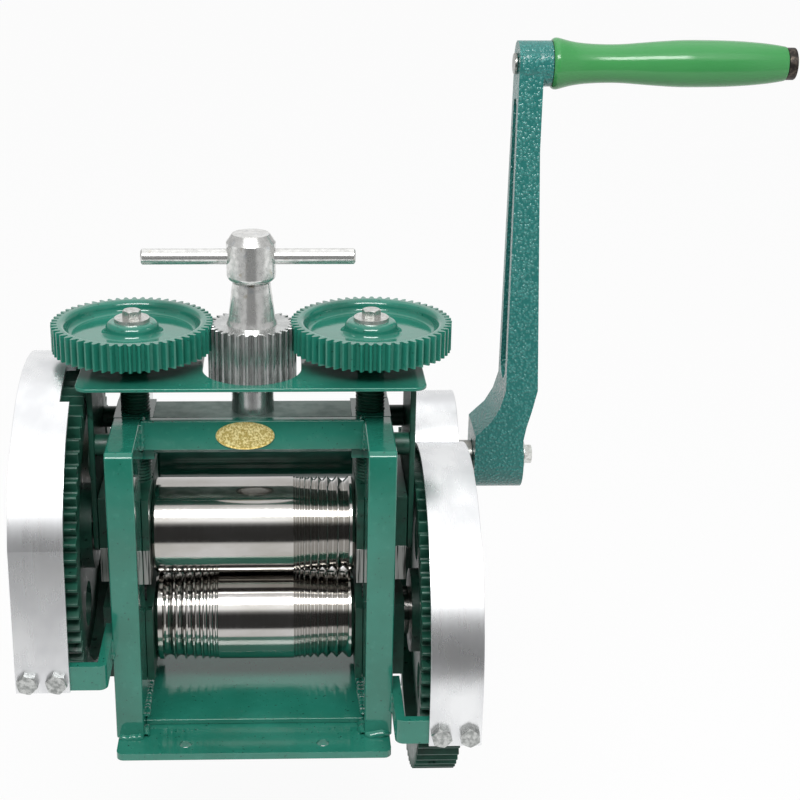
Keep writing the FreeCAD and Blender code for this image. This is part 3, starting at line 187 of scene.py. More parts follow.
def blend_colours(tree, factor, first, second):
    """Two colours, each a hex string or a socket, mixed by a factor."""
    made = add(tree, "Mix", {"data_type": "RGBA"}, {0: factor})
    for number, colour in ((6, first), (7, second)):
        if isinstance(colour, str):
            made.inputs[number].default_value = linear(colour)
        else:
            tree.links.new(colour, made.inputs[number])
    return made.outputs[2]


def surface(tree, shader, colour, roughness=None):
    """Links a colour to the shader, and a roughness where it varies."""
    tree.links.new(colour, shader.inputs["Base Color"])
    if roughness is not None:
        tree.links.new(roughness, shader.inputs["Roughness"])


def relief(tree, shader, height, depth_mm, under=None):
    """A bump of depth_mm on the shader, over another bump if there is one."""
    links = {"Height": height}
    if under is not None:
        links["Normal"] = under
    made = add(tree, "Bump", {"Strength": 1.0, "Distance": depth_mm * MM}, links)
    tree.links.new(made.outputs[0], shader.inputs["Normal"])
    return made.outputs[0]


# ---- materials -----------------------------------------------------------------------------------
def dipped_enamel():
    """Thick machine enamel over steel: glossy, with orange peel, slow sags, dust and small pits."""
    material, tree, shader, place = finish_of(
        "green_enamel", {"Roughness": 0.12, "IOR": 1.45, "Coat Weight": 0.6, "Coat Roughness": 0.03})
    clouds = grain(tree, place, 28, detail=3)
    colour = blend_colours(tree, span(tree, clouds, 0.35, 0.65, 0, 1), "#1e6958", "#247362")
    dust = span(tree, grain(tree, place, 3.5, detail=4), 0.60, 0.72, 0, 0.15)
    colour = blend_colours(tree, dust, colour, "#4a8f7f")
    pits = span(tree, grain(tree, place, 1.6, detail=1), 0.715, 0.74, 0, 0.8)
    colour = blend_colours(tree, pits, colour, "#0d362d")
    surface(tree, shader, colour, span(tree, clouds, 0.3, 0.7, 0.07, 0.13))
    sags = relief(tree, shader, grain(tree, place, 9, detail=1), 0.10)
    relief(tree, shader, grain(tree, place, 1.3, detail=2), 0.02, under=sags)
    return material


def shaded_shop_paint():
    """The same green brushed thin on inner castings and gears: oily, uneven, rougher than the enamel and
    darker, that darkness partly painted shade for parts that sit in the mill's shade.
    """
    material, tree, shader, place = finish_of("shaded_shop_paint", {"Roughness": 0.35, "IOR": 1.45})
    patches = span(tree, grain(tree, place, 12, detail=4), 0.35, 0.65, 0, 1)
    colour = blend_colours(tree, patches, "#12392d", "#1a4d3e")
    oil = span(tree, grain(tree, place, 5, detail=5), 0.58, 0.68, 0, 0.7)
    colour = blend_colours(tree, oil, colour, "#0c211b")
    surface(tree, shader, colour, span(tree, oil, 0, 0.7, 0.42, 0.25))
    relief(tree, shader, grain(tree, place, 1.2, detail=3), 0.04)
    return material


def dark_tube_paint():
    """Dark green paint on a turned tube: glossy, uneven along the tube and slightly wavy."""
    material, tree, shader, place = finish_of("dark_tube_paint", {"Roughness": 0.14, "IOR": 1.6})
    patches = span(tree, grain(tree, place, 9, stretch=(3, 1, 1), detail=4), 0.35, 0.65, 0, 1)
    surface(tree, shader, blend_colours(tree, patches, "#17453a", "#215a4b"))
    relief(tree, shader, grain(tree, place, 1.5, stretch=(6, 1, 1), detail=2), 0.04)
    return material


def hammered_enamel():
    """Hammer-finish enamel on cast iron: rounded dimples about 1.6 mm wide, with painted shade in the low
    parts between them and a painted highlight on their raised tops.
    """
    material, tree, shader, place = finish_of("hammered_enamel", {"Roughness": 0.22, "IOR": 1.5})
    dimple_mm = 1.6
    spread = add(tree, "Mapping", {"Scale": [1 / (dimple_mm * MM)] * 3}, {"Vector": place}).outputs[0]
    wobble = add(tree, "TexNoise", {"Scale": 1.4, "Detail": 1.0}, {"Vector": spread}).outputs[1]
    shifted = add(tree, "Mix", {"data_type": "VECTOR", 0: 0.28}, {4: spread, 5: wobble}).outputs[1]
    settings = {"feature": "SMOOTH_F1", "Scale": 1.25, "Smoothness": 0.35}
    cells = add(tree, "TexVoronoi", settings, {"Vector": shifted}).outputs["Distance"]
    height = span(tree, cells, 0.05, 0.6, 1, 0)
    # The colour follows the relief: painted shade in the low parts and a painted highlight on the raised
    # dimples.
    surface(tree, shader, blend_colours(tree, height, "#276b66", "#3f8983"))
    coarse = relief(tree, shader, height, 0.45)
    relief(tree, shader, grain(tree, place, 0.8, detail=1), 0.03, under=coarse)
    return material


def ground_roll_steel():
    """Hardened steel, ground and polished round its axis: near mirror, with faint rings 0.3 mm apart."""
    material, tree, shader, place = finish_of("ground_roll_steel", {"Metallic": 1.0, "Roughness": 0.1})
    rings = grain(tree, place, 0.3, stretch=(1, 60, 60), detail=2)
    film = grain(tree, place, 14, stretch=(2.5, 1, 1), detail=4)
    colour = blend_colours(tree, span(tree, film, 0.4, 0.7, 0, 1), "#bdbbb8", "#aca9a3")
    surface(tree, shader, colour, span(tree, rings, 0.3, 0.7, 0.06, 0.16))
    relief(tree, shader, rings, 0.0012)
    return material


def turned_steel():
    """Plain turned and milled steel with an oil film: satin, with fine tool lines."""
    material, tree, shader, place = finish_of("turned_steel", {"Metallic": 1.0, "Roughness": 0.3})
    lines = grain(tree, place, 0.5, stretch=(1, 8, 1), detail=2)
    stain = span(tree, grain(tree, place, 9, detail=4), 0.45, 0.7, 0, 1)
    colour = blend_colours(tree, stain, "#acada9", "#86857f")
    surface(tree, shader, colour, span(tree, lines, 0.3, 0.7, 0.22, 0.4))
    relief(tree, shader, lines, 0.004)
    return material


def shaded_milled_shoe_steel():
    """Milled steel: upright cutter lines 0.8 mm apart, a few of them dark with oil; both colours are also
    darkened as painted shade, for the shoes sit in shadow.
    """
    material, tree, shader, place = finish_of("shaded_milled_shoe_steel", {"Metallic": 1.0, "Roughness": 0.3})
    lines = grain(tree, place, 0.8, stretch=(1, 1, 40), detail=2)
    surface(tree, shader, blend_colours(tree, span(tree, lines, 0.36, 0.46, 0, 1), "#353836", "#a5a6a3"))
    relief(tree, shader, lines, 0.01)
    return material


def dusty_beam_steel():
    """Bare steel that caught green overspray: grey-green and satin, with rolling lines across the mill."""
    material, tree, shader, place = finish_of("dusty_beam_steel", {"Metallic": 0.6, "Roughness": 0.4})
    lines = grain(tree, place, 0.6, stretch=(12, 1, 1), detail=3)
    spray = span(tree, grain(tree, place, 7, detail=4), 0.4, 0.65, 0, 1)
    surface(tree, shader, blend_colours(tree, spray, "#7c8e88", "#5f766f"))
    relief(tree, shader, lines, 0.01)
    return material


def bright_plate():
    """Bright plate over turned steel: satin grey-white, with tool rings, crystal mottle and faint stains."""
    material, tree, shader, place = finish_of("bright_plate", {"Metallic": 0.8, "Roughness": 0.28})
    rings = grain(tree, place, 0.35, stretch=(40, 40, 1), detail=2)
    crystals = grain(tree, place, 3.0, detail=4)
    colour = blend_colours(tree, span(tree, crystals, 0.42, 0.62, 0, 1), "#e4e4e2", "#d0d0ce")
    stains = span(tree, grain(tree, place, 6.5, detail=5, rough=0.6), 0.62, 0.7, 0, 0.5)
    colour = blend_colours(tree, stains, colour, "#a3946c")
    cold = span(tree, grain(tree, place, 5.0, stretch=(1, 1.3, 1), detail=4), 0.62, 0.7, 0, 0.3)
    colour = blend_colours(tree, cold, colour, "#8d9bab")
    surface(tree, shader, colour, span(tree, crystals, 0.4, 0.65, 0.18, 0.28))
    pitted = relief(tree, shader, grain(tree, place, 1.6, detail=3), 0.008)
    relief(tree, shader, rings, 0.004, under=pitted)
    return material


def hobbed_steel():
    """Cut gear steel, thinly plated: grey, with fine upright lines and a faint film of oil."""
    material, tree, shader, place = finish_of("hobbed_steel", {"Metallic": 1.0, "Roughness": 0.26})
    lines = grain(tree, place, 0.5, stretch=(1, 1, 30), detail=2)
    film = span(tree, grain(tree, place, 9, detail=2), 0.45, 0.68, 0, 1)
    colour = blend_colours(tree, film, "#d6d8d7", "#c3c5c4")
    surface(tree, shader, colour, span(tree, lines, 0.3, 0.7, 0.2, 0.3))
    relief(tree, shader, lines, 0.0015)
    return material


def zinc_plate(name, bright, dull):
    """Zinc on bolts: grey and slightly mottled, between two colours."""
    material, tree, shader, place = finish_of(name, {"Metallic": 0.95, "Roughness": 0.3})
    mottle = grain(tree, place, 1.8, detail=4)
    colour = blend_colours(tree, span(tree, mottle, 0.4, 0.65, 0, 1), bright, dull)
    surface(tree, shader, colour, span(tree, mottle, 0.3, 0.7, 0.22, 0.42))
    relief(tree, shader, grain(tree, place, 0.5, detail=1), 0.01)
    return material


def spring_wire():
    """Oil-tempered spring wire: dark grey with a soft sheen."""
    material, tree, shader, place = finish_of("spring_wire", {"Metallic": 1.0, "Roughness": 0.35})
    surface(tree, shader, blend_colours(tree, grain(tree, place, 3, detail=2), "#6c6d70", "#4b4a4a"))
    return material


def guard_sheet():
    """Mill-finish aluminium strip: satin, with cloudy patches and rolling lines 1.4 mm apart."""
    material, tree, shader, place = finish_of("guard_sheet", {"Metallic": 0.9, "Roughness": 0.3})
    lines = grain(tree, place, 1.4, stretch=(1, 40, 40), detail=1)
    clouds = grain(tree, place, 16, stretch=(1, 1.4, 1.4), detail=2)
    colour = blend_colours(tree, span(tree, clouds, 0.35, 0.65, 0, 1), "#f2f3f4", "#e2e3e5")
    mixed = add(tree, "Math", {"operation": "MULTIPLY_ADD", 1: 0.35}, {0: lines, 2: clouds}).outputs[0]
    surface(tree, shader, colour, span(tree, mixed, 0.45, 0.95, 0.24, 0.32))
    dents = relief(tree, shader, clouds, 0.012)
    relief(tree, shader, lines, 0.002, under=dents)
    return material


def stamped_brass():
    """Thin brass plate: yellow, with a sandy grain 1 mm across and dark lacquer in its hollows."""
    material, tree, shader, place = finish_of("stamped_brass", {"Metallic": 0.45, "Roughness": 0.4})
    sand = grain(tree, place, 1.0, detail=3)
    surface(tree, shader, blend_colours(tree, span(tree, sand, 0.42, 0.6, 0, 1), "#bda658", "#f4e7a9"))
    relief(tree, shader, sand, 0.06)
    return material


def turned_bronze():
    """Bearing bronze: brown-yellow and satin with tool rings."""
    material, tree, shader, place = finish_of("turned_bronze", {"Metallic": 1.0, "Roughness": 0.3})
    rings = grain(tree, place, 0.4, stretch=(1, 30, 30), detail=1)
    surface(tree, shader, blend_colours(tree, rings, "#a8803c", "#c59a52"))
    return material


def moulded_grip():
    """Glossy moulded plastic: leaf green, almost even, with a faint waviness."""
    settings = {"Roughness": 0.16, "IOR": 1.46, "Subsurface Weight": 0.08,
                "Subsurface Radius": (0.004, 0.006, 0.003)}
    material, tree, shader, place = finish_of("moulded_grip", settings)
    flow = grain(tree, place, 22, stretch=(3, 1, 1), detail=2)
    handled = span(tree, grain(tree, place, 4, detail=3), 0.3, 0.7, 0.1, 0.15)
    surface(tree, shader, blend_colours(tree, flow, "#3b844a", "#458f52"), handled)
    relief(tree, shader, grain(tree, place, 12, detail=1), 0.05)
    return material


def black_oxide():
    """Blackened steel with brown wear."""
    material, tree, shader, place = finish_of("black_oxide", {"Metallic": 0.8, "Roughness": 0.45})
    worn = span(tree, grain(tree, place, 2, detail=4), 0.45, 0.65, 0, 1)
    surface(tree, shader, blend_colours(tree, worn, "#35312f", "#5d544c"))
    return material


MATERIALS = {
    "green_enamel": dipped_enamel(),
    "hammered_green": hammered_enamel(),
    "roll_steel": ground_roll_steel(),
    "machined_steel": turned_steel(),
    "bolt_steel": zinc_plate("bright_zinc", "#e0e1de", "#c2c1bc"),
    "spring_steel": spring_wire(),
    "nickel": bright_plate(),
    "guard_aluminium": guard_sheet(),
    "brass": turned_bronze(),
    "green_plastic": moulded_grip(),
    "dark_nut": black_oxide(),
}
# These pieces take the darker shop paint, whose darkness is partly painted shade.
SHADED_SHOP_PAINTED = (
    "upper_drive_gear", "lower_drive_gear", "crank_pinions", "idler_gear", "bridge_legs", "bridge_standoffs",
    "adjusting_screw_left", "adjusting_screw_right", "upper_block_left", "upper_block_right",
    "lower_block_left", "lower_block_right",
)
FINISH_OF = dict.fromkeys(SHADED_SHOP_PAINTED, shaded_shop_paint())
FINISH_OF.update(dict.fromkeys(("upper_shoe_left", "upper_shoe_right"), shaded_milled_shoe_steel()))
FINISH_OF.update({
    "shaft_tube": dark_tube_paint(),
    "top_beam": dusty_beam_steel(),
    "oval_badge": stamped_brass(),
    "centre_spindle": hobbed_steel(),
    # The straps' bolts take a darker copy of the zinc: painted shade, so that they don't blow out under the
    # key lamp.
    "guard_bolts": zinc_plate("dimmed_zinc", "#c8cac8", "#9b9e9c"),
    "grip_bolt": MATERIALS["machined_steel"],
})


# ---- shape tools ---------------------------------------------------------------------------------
def piece(name, mesh, node, sharp=32.0, even=False, rides=True):
    """Turns a bmesh into a smooth-shaded piece that rides with a CAD node and takes its slot.

    Edges that bend more than sharp degrees stay sharp, and even keeps flat faces flat in their shading.
    """
    for face in mesh.faces:
        face.smooth = True
    for edge in mesh.edges:
        edge.smooth = len(edge.link_faces) == 2 and edge.calc_face_angle(0) < math.radians(sharp)
    data = bpy.data.meshes.new(name)
    mesh.to_mesh(data)
    mesh.free()
    data.materials.append(FINISH_OF.get(node) or MATERIALS[SLOT_OF[node]])
    made = bpy.data.objects.new(name, data)
    scene.collection.objects.link(made)
    if even:
        shading = made.modifiers.new("even_shading", "WEIGHTED_NORMAL")
        shading.keep_sharp = True
    if rides:
        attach(made, BODY_OF[node])
    return made


def joined(node):
    """A copy of a CAD node's mesh with its loose triangles joined into faces."""
    mesh = bmesh.new()
    mesh.from_mesh(NODES[node].data)
    bmesh.ops.remove_doubles(mesh, verts=mesh.verts, dist=MERGE)
    bmesh.ops.dissolve_limit(mesh, angle_limit=math.radians(FLAT_DEG), verts=mesh.verts, edges=mesh.edges)
    return mesh


def soften(mesh, edges, width_mm, segments):
    """Rounds some edges of a mesh."""
    bmesh.ops.bevel(mesh, geom=edges, offset=width_mm * MM, offset_type="OFFSET", segments=segments,
                    profile=0.5, affect="EDGES", clamp_overlap=True, material=-1)


def rounded(node, width_mm, segments=2, sharp=50.0, thick=None):
    """A CAD node with its corners rounded, as paint or a deburring tool leaves them.

    thick picks the edges where paint lies thick, which get a rounding of THICK_PAINT first.
    """
    mesh = joined(node)
    if thick:
        soften(mesh, [e for e in mesh.edges if thick(e)], THICK_PAINT, THICK_PAINT_STEPS)
    limit = math.radians(CORNER_DEG)
    edges = [e for e in mesh.edges if len(e.link_faces) == 2 and e.calc_face_angle(0) > limit]
    soften(mesh, edges, width_mm, segments)
    made = piece(node + "_rounded", mesh, node, sharp=sharp, even=True)
    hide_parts(node)


def towards(way):
    """The turn that points Z along a direction."""
    return Vector((0, 0, 1)).rotation_difference(Vector(way)).to_matrix().to_4x4()


def turned(outline_mm, centre_mm, axis, steps):
    """A closed turned shape: outline holds (along the axis, radius) pairs, from one end to the other."""
    mesh = bmesh.new()
    points = [mesh.verts.new((radius * MM, 0, along * MM)) for along, radius in outline_mm]
    edges = [mesh.edges.new(pair) for pair in zip(points, points[1:])]
    bmesh.ops.spin(mesh, geom=points + edges, cent=(0, 0, 0), axis=(0, 0, 1), angle=2 * math.pi,
                   steps=steps, use_merge=True)
    bmesh.ops.remove_doubles(mesh, verts=mesh.verts, dist=MERGE)
    bmesh.ops.recalc_face_normals(mesh, faces=mesh.faces)
    place = Matrix.Translation(Vector(centre_mm) * MM)
    bmesh.ops.transform(mesh, matrix=place @ towards(axis), verts=mesh.verts)
    return mesh


# ---- rolls ---------------------------------------------------------------------------------------
def v_grooves():
    """The outline of right-angled wire grooves that grow towards the right, each with a small flat."""
    outline = []
    x = V_GROOVE_X
    for width in V_GROOVE_WIDTHS:
        depth = width * V_GROOVE_SLOPE
        outline += [(x + width * across, ROLL_R - depth * down) for across, down in V_GROOVE_SHAPE]
        x += width + V_GROOVE_LAND
    return outline


def half_round_grooves():
    """The outline of half-round wire grooves that shrink towards the right."""
    outline = []
    x = D_GROOVE_X
    for width in D_GROOVE_WIDTHS:
        depth = width * D_GROOVE_SLOPE
        radius = (width * width / 4 + depth * depth) / (2 * depth)
        half = math.asin(min(1.0, width / 2 / radius))
        for i in range(D_GROOVE_STEPS + 1):
            angle = -half + 2 * half * i / D_GROOVE_STEPS
            along = x + width / 2 + radius * math.sin(angle)
            outline.append((along, ROLL_R - depth + radius * (1 - math.cos(angle))))
        x += width + D_GROOVE_LAND
    return outline


def flipped(outline):
    """An outline for the other end of the same shape."""
    return [(-along, radius) for along, radius in reversed(outline)]


def roll(node, with_half_round):
    """A roll with crisp grooves, chamfered ends, journals and its gear seat."""
    low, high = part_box(node)
    gear_end = max(high.x, -low.x) / MM
    plain = [(-JOURNAL_END, 0.0), (-JOURNAL_END, JOURNAL_R - JOURNAL_CHAMFER),
             (-JOURNAL_END + JOURNAL_CHAMFER, JOURNAL_R)]
    geared = [(GEAR_SEAT_X, JOURNAL_R), (GEAR_SEAT_X, GEAR_SEAT_R), (gear_end, GEAR_SEAT_R), (gear_end, 0.0)]
    shoulder = [(-ROLL_HALF, JOURNAL_R), (-ROLL_HALF, ROLL_R - ROLL_CHAMFER),
                (-ROLL_HALF + ROLL_CHAMFER, ROLL_R)]
    grooves = (half_round_grooves() if with_half_round else []) + v_grooves()
    outline = shoulder + grooves + flipped(shoulder)
    if high.x > -low.x:
        outline = plain + outline + geared
    else:
        outline = flipped(geared) + outline + flipped(plain)
    mesh = turned(outline, (0, 0, (low.z + high.z) / 2 / MM), (1, 0, 0), ROLL_STEPS)
    made = piece(node + "_ground", mesh, node, sharp=18.0)
    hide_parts(node)


roll("upper_roll", False)
roll("lower_roll", True)


# ---- painted and machined pieces with softened corners ------------------------------------------
CORNERS_MM = {
    "base_plate": 0.7, "bottom_tie_plate": 0.5, "front_crossbar": 0.7, "shaft_tube": 0.8,
    "screw_nuts": 0.5, "gear_bridge": 0.5, "bridge_legs": 0.6,
    "side_frame_left": 0.9, "side_frame_right": 0.9,
    "guard_brackets_left": 0.8, "guard_brackets_right": 0.8,
    "lower_block_left": 0.6, "lower_block_right": 0.6,
    "upper_block_left": 0.6, "upper_block_right": 0.6,
    "upper_drive_gear": 0.35, "lower_drive_gear": 0.35, "crank_pinions": 0.35, "idler_gear": 0.35,
    "top_beam": 0.4, "bridge_standoffs": 0.4, "idler_pin": 0.3,
    "upper_shoe_left": 0.4, "upper_shoe_right": 0.4,
    "lower_bushes": 0.3, "crank_bushes": 0.3, "upper_bushes": 0.3,
    "crank_shaft": 0.5, "crank_key": 0.2, "grip_bolt": 0.5, "grip_nut": 0.6,
    "spindle_collar": 0.5, "centre_spindle": 0.3, "handle_head": 0.5, "tommy_bar": 0.2,
    "crank_arm": 1.6, "grip": 0.5, "block_bolts": 0.3,
    "upper_gear_key": 0.2, "lower_gear_key": 0.2, "top_gear_key_left": 0.2, "top_gear_key_right": 0.2,
}
for node_name, corner_mm in CORNERS_MM.items():
    rounded(node_name, corner_mm, segments=3 if corner_mm > 1 else 2)
for node_name in ("guard_left", "guard_right"):
    rounded(node_name, GUARD_CORNER, sharp=GUARD_SHARP_DEG)


def top_gear(node):
    """A top gear: the paint lies thick along the recess's round edges and thin on the teeth."""
    low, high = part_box(node)
    centre = Vector(((low.x + high.x) / 2, 0))

    def on_recess(edge):
        radii = [(vert.co.xy - centre).length / MM for vert in edge.verts]
        heights = [vert.co.z for vert in edge.verts]
        level = abs(heights[0] - heights[1]) < SAME_LEVEL and heights[0] > low.z + MM
        return level and any(
            all(abs(radius - wanted) < RECESS_MISS for radius in radii) for wanted in TOP_GEAR_RECESS_R)

    rounded(node, TOP_GEAR_CORNER, thick=on_recess)


top_gear("top_gear_left")
top_gear("top_gear_right")


# ---- screws, bolts and springs -------------------------------------------------------------------
def threaded_screw(node):
    """An adjusting screw: its left-hand thread is one helix round a core."""
    low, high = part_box(node)
    centre = ((low.x + high.x) / 2, (low.y + high.y) / 2)
    turns = int((THREAD_END_Z * MM - low.z) / (THREAD_PITCH * MM)) - 1
    root = (SCREW_R - THREAD_DEPTH) * MM
    crest = SCREW_R * MM
    pitch = THREAD_PITCH * MM
    mesh = bmesh.new()
    profile = [(root, 0.0), *((crest, share) for share in THREAD_CREST), (root, 1.0)]
    points = [mesh.verts.new((r, 0, low.z + share * pitch)) for r, share in profile]
    edges = [mesh.edges.new(pair) for pair in zip(points, points[1:])]
    bmesh.ops.spin(mesh, geom=points + edges, cent=(0, 0, 0), axis=(0, 0, 1), angle=-2 * math.pi * turns,
                   dvec=(0, 0, pitch / THREAD_STEPS), steps=THREAD_STEPS * turns, use_merge=False)
    bmesh.ops.remove_doubles(mesh, verts=mesh.verts, dist=MERGE)
    rims = [e for e in mesh.edges if len(e.link_faces) == 1]
    bmesh.ops.holes_fill(mesh, edges=rims, sides=0)
    bmesh.ops.recalc_face_normals(mesh, faces=mesh.faces)
    core = bmesh.ops.create_cone(mesh, cap_ends=True, segments=SCREW_CORE_STEPS, radius1=SCREW_CORE_R * MM,
                                 radius2=SCREW_CORE_R * MM, depth=high.z - low.z)["verts"]
    bmesh.ops.translate(mesh, verts=core, vec=(0, 0, (high.z + low.z) / 2))
    bmesh.ops.translate(mesh, verts=mesh.verts, vec=(*centre, 0))
    made = piece(node + "_threaded", mesh, node, sharp=40.0)
    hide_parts(node)


threaded_screw("adjusting_screw_left")
threaded_screw("adjusting_screw_right")

HEAD_FACE = 0.475       # radius of a bolt head's round face, over the width across its flats
WASHER_BEVEL = 0.25     # millimetres


def chamfered_head(mesh, flats, height, place):
    """A hexagon bolt head with its outer corners turned off, added to a mesh."""
    start = len(mesh.verts)
    bmesh.ops.create_circle(mesh, cap_ends=True, radius=1.0, segments=HEAD_STEPS)
    mesh.verts.ensure_lookup_table()
    ring = mesh.verts[start:]
    inner = flats * HEAD_FACE
    reach = {}
    for vert in ring:
        angle = math.atan2(vert.co.y, vert.co.x)
        off_flat = (angle + math.pi / 6) % (math.pi / 3) - math.pi / 6
        reach[round(angle, 3)] = flats / 2 / math.cos(off_flat)
        vert.co *= reach[round(angle, 3)]
    cap = ring[0].link_faces[0]
    for on_top in (False, True):
        cap = bmesh.ops.extrude_discrete_faces(mesh, faces=[cap])["faces"][0]
        for vert in cap.verts:
            angle = math.atan2(vert.co.y, vert.co.x)
            if on_top:
                vert.co = Vector((math.cos(angle) * inner, math.sin(angle) * inner, height))
            else:
                drop = (reach[round(angle, 3)] - inner) * math.tan(math.radians(HEAD_CHAMFER_DEG))
                vert.co.z = height - drop
    mesh.verts.ensure_lookup_table()
    bmesh.ops.transform(mesh, matrix=place, verts=mesh.verts[start:])


def bolts(node, heads, flats, height, washer=None):
    """Replaces a node of bolts: heads holds each seat in metres and the way its head points.

    flats and height are the head's size and washer its washer's radius and thickness, in millimetres.
    """
    mesh = bmesh.new()
    rng = random.Random(node)
    for seat, way in heads:
        spin = Matrix.Rotation(rng.uniform(0, math.pi / 3), 4, "Z")
        place = Matrix.Translation(Vector(seat)) @ towards(way) @ spin
        chamfered_head(mesh, flats * MM, height * MM, place)
        if washer:
            radius, thick = washer
            plate = bmesh.ops.create_cone(mesh, cap_ends=True, segments=WASHER_STEPS, radius1=radius * MM,
                                          radius2=(radius - WASHER_BEVEL) * MM, depth=thick * MM)["verts"]
            down = Matrix.Translation((0, 0, -thick * MM / 2))
            bmesh.ops.transform(mesh, matrix=place @ down, verts=plate)
    bmesh.ops.recalc_face_normals(mesh, faces=mesh.faces)
    made = piece(node + "_turned", mesh, node, sharp=25.0)
    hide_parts(node)


def top_gear_bolt(node, flats, height, washer):
    """The bolt and washer on top of an adjusting screw, placed by its CAD node."""
    low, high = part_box(node)
    seat = ((low.x + high.x) / 2, (low.y + high.y) / 2, high.z - height * MM)
    bolts(node, [(seat, (0, 0, 1))], flats, height, washer)


for node_name in ("top_gear_bolt_left", "top_gear_bolt_right"):
    top_gear_bolt(node_name, flats=9.0, height=4.3, washer=(9.7, 1.8))

# Where the straps' bolts sit, in millimetres.
GUARD_BOLT_INSET = 6.5  # from a strap's inner edge to its first bolt
GUARD_BOLT_PITCH = 15.0
GUARD_BOLT_UP = 6.8     # above a strap's front end
GUARD_FRONT_Y = -97.5   # a strap's outer face at its front end
GUARD_REAR_BOLT_Z = 92.8
GUARD_T = 2.5           # a strap's thickness
GUARDS = (
    # side, the inner edge's X, the front end's Z and the Y of the rear end's inner face
    (-1, 94.5, 52.0, 130.0),
    (1, 93.0, 17.5, 126.7),
)


def guard_bolts():
    """Two bolts at each end of both straps."""
    heads = []
    for side, inner_x, front_z, rear_y in GUARDS:
        for i in range(2):
            x = side * (inner_x + GUARD_BOLT_INSET + GUARD_BOLT_PITCH * i) * MM
            heads.append(((x, GUARD_FRONT_Y * MM, (front_z + GUARD_BOLT_UP) * MM), (0, -1, 0)))
            heads.append(((x, (rear_y + GUARD_T) * MM, GUARD_REAR_BOLT_Z * MM), (0, 1, 0)))
    bolts("guard_bolts", heads, flats=10.0, height=4.0)


guard_bolts()

SHAFT_BOLTS = (
    # node, seat, the way its head points, across the flats, head's height, washer's radius and thickness,
    # in millimetres
    ("crank_bolt", (167.5, 102.5, 102), (1, 0, 0), 11.5, 4.8, (8.5, 2.5)),
    ("idler_bolt", (114.05, 75.905, 115.882), (1, 0, 0), 10.0, 4.0, (11.0, 2.0)),
    ("upper_gear_bolt", (-114.5, 0, 102.5), (-1, 0, 0), 11.5, 4.8, (16.0, 2.5)),
    ("lower_gear_bolt", (114.5, 0, 47), (1, 0, 0), 11.5, 4.8, (16.0, 2.5)),
)
for node_name, seat_mm, head_way, *head_sizes in SHAFT_BOLTS:
    bolts(node_name, [(tuple(part * MM for part in seat_mm), head_way)], *head_sizes)


def lift_springs():
    """Four coil springs that stretch between the lower blocks and the carriage."""
    low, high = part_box("lift_springs")
    wire = SPRING_WIRE_R * MM
    rise = (high.z - low.z - 2 * wire) / SPRING_TURNS
    mesh = bmesh.new()
    for x in (low.x + SPRING_OUTER_R * MM, high.x - SPRING_OUTER_R * MM):
        for y in (low.y + SPRING_OUTER_R * MM, high.y - SPRING_OUTER_R * MM):
            seat = Vector((x, y, low.z + wire))
            section = bmesh.ops.create_circle(mesh, cap_ends=True, radius=wire,
                                              segments=SPRING_WIRE_STEPS)["verts"]
            upright = Matrix.Rotation(math.pi / 2, 4, "X")
            out = Matrix.Translation(seat + Vector((SPRING_OUTER_R * MM - wire, 0, 0)))
            bmesh.ops.transform(mesh, matrix=out @ upright, verts=section)
            cap = section[0].link_faces[0]
            bmesh.ops.spin(mesh, geom=[cap], cent=seat, axis=(0, 0, 1), angle=2 * math.pi * SPRING_TURNS,
                           dvec=(0, 0, rise / SPRING_STEPS), steps=SPRING_STEPS * SPRING_TURNS,
                           use_merge=False)
    bmesh.ops.recalc_face_normals(mesh, faces=mesh.faces)
    made = piece("lift_springs_wire", mesh, "lift_springs", sharp=50.0, rides=False)
    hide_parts("lift_springs")
    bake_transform(made)


lift_springs()

# ---- badge ---------------------------------------------------------------------------------------
BADGE_RINGS = (
    # share of the oval's size and share of the plate's thickness, from the edge inwards
    (1.0, 0.6), (0.975, 1.0), (0.93, 1.0), (0.905, 0.4),
)


def blank_badge():
    """An oval brass plate with a raised rim and a plain field."""
    low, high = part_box("oval_badge")
    centre = (low + high) / 2
    size = (high - low) / 2
    mesh = bmesh.new()
    bmesh.ops.create_circle(mesh, cap_ends=True, radius=1.0, segments=BADGE_STEPS)
    for across, height in BADGE_RINGS:
        cap = max(mesh.faces, key=lambda f: f.calc_center_median().z)
        cap = bmesh.ops.extrude_discrete_faces(mesh, faces=[cap])["faces"][0]
        for vert in cap.verts:
            flat = Vector((vert.co.x, vert.co.y, 0)).normalized() * across
            vert.co = Vector((flat.x, flat.y, height))
    place = Matrix.Translation((centre.x, high.y, centre.z)) @ Matrix.Rotation(math.pi / 2, 4, "X")
    shape = Matrix.Diagonal((size.x, size.z, high.y - low.y, 1))
    bmesh.ops.transform(mesh, matrix=place @ shape, verts=mesh.verts)
    bmesh.ops.recalc_face_normals(mesh, faces=mesh.faces)
    made = piece("oval_badge_stamped", mesh, "oval_badge", sharp=25.0)
    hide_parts("oval_badge")


blank_badge()

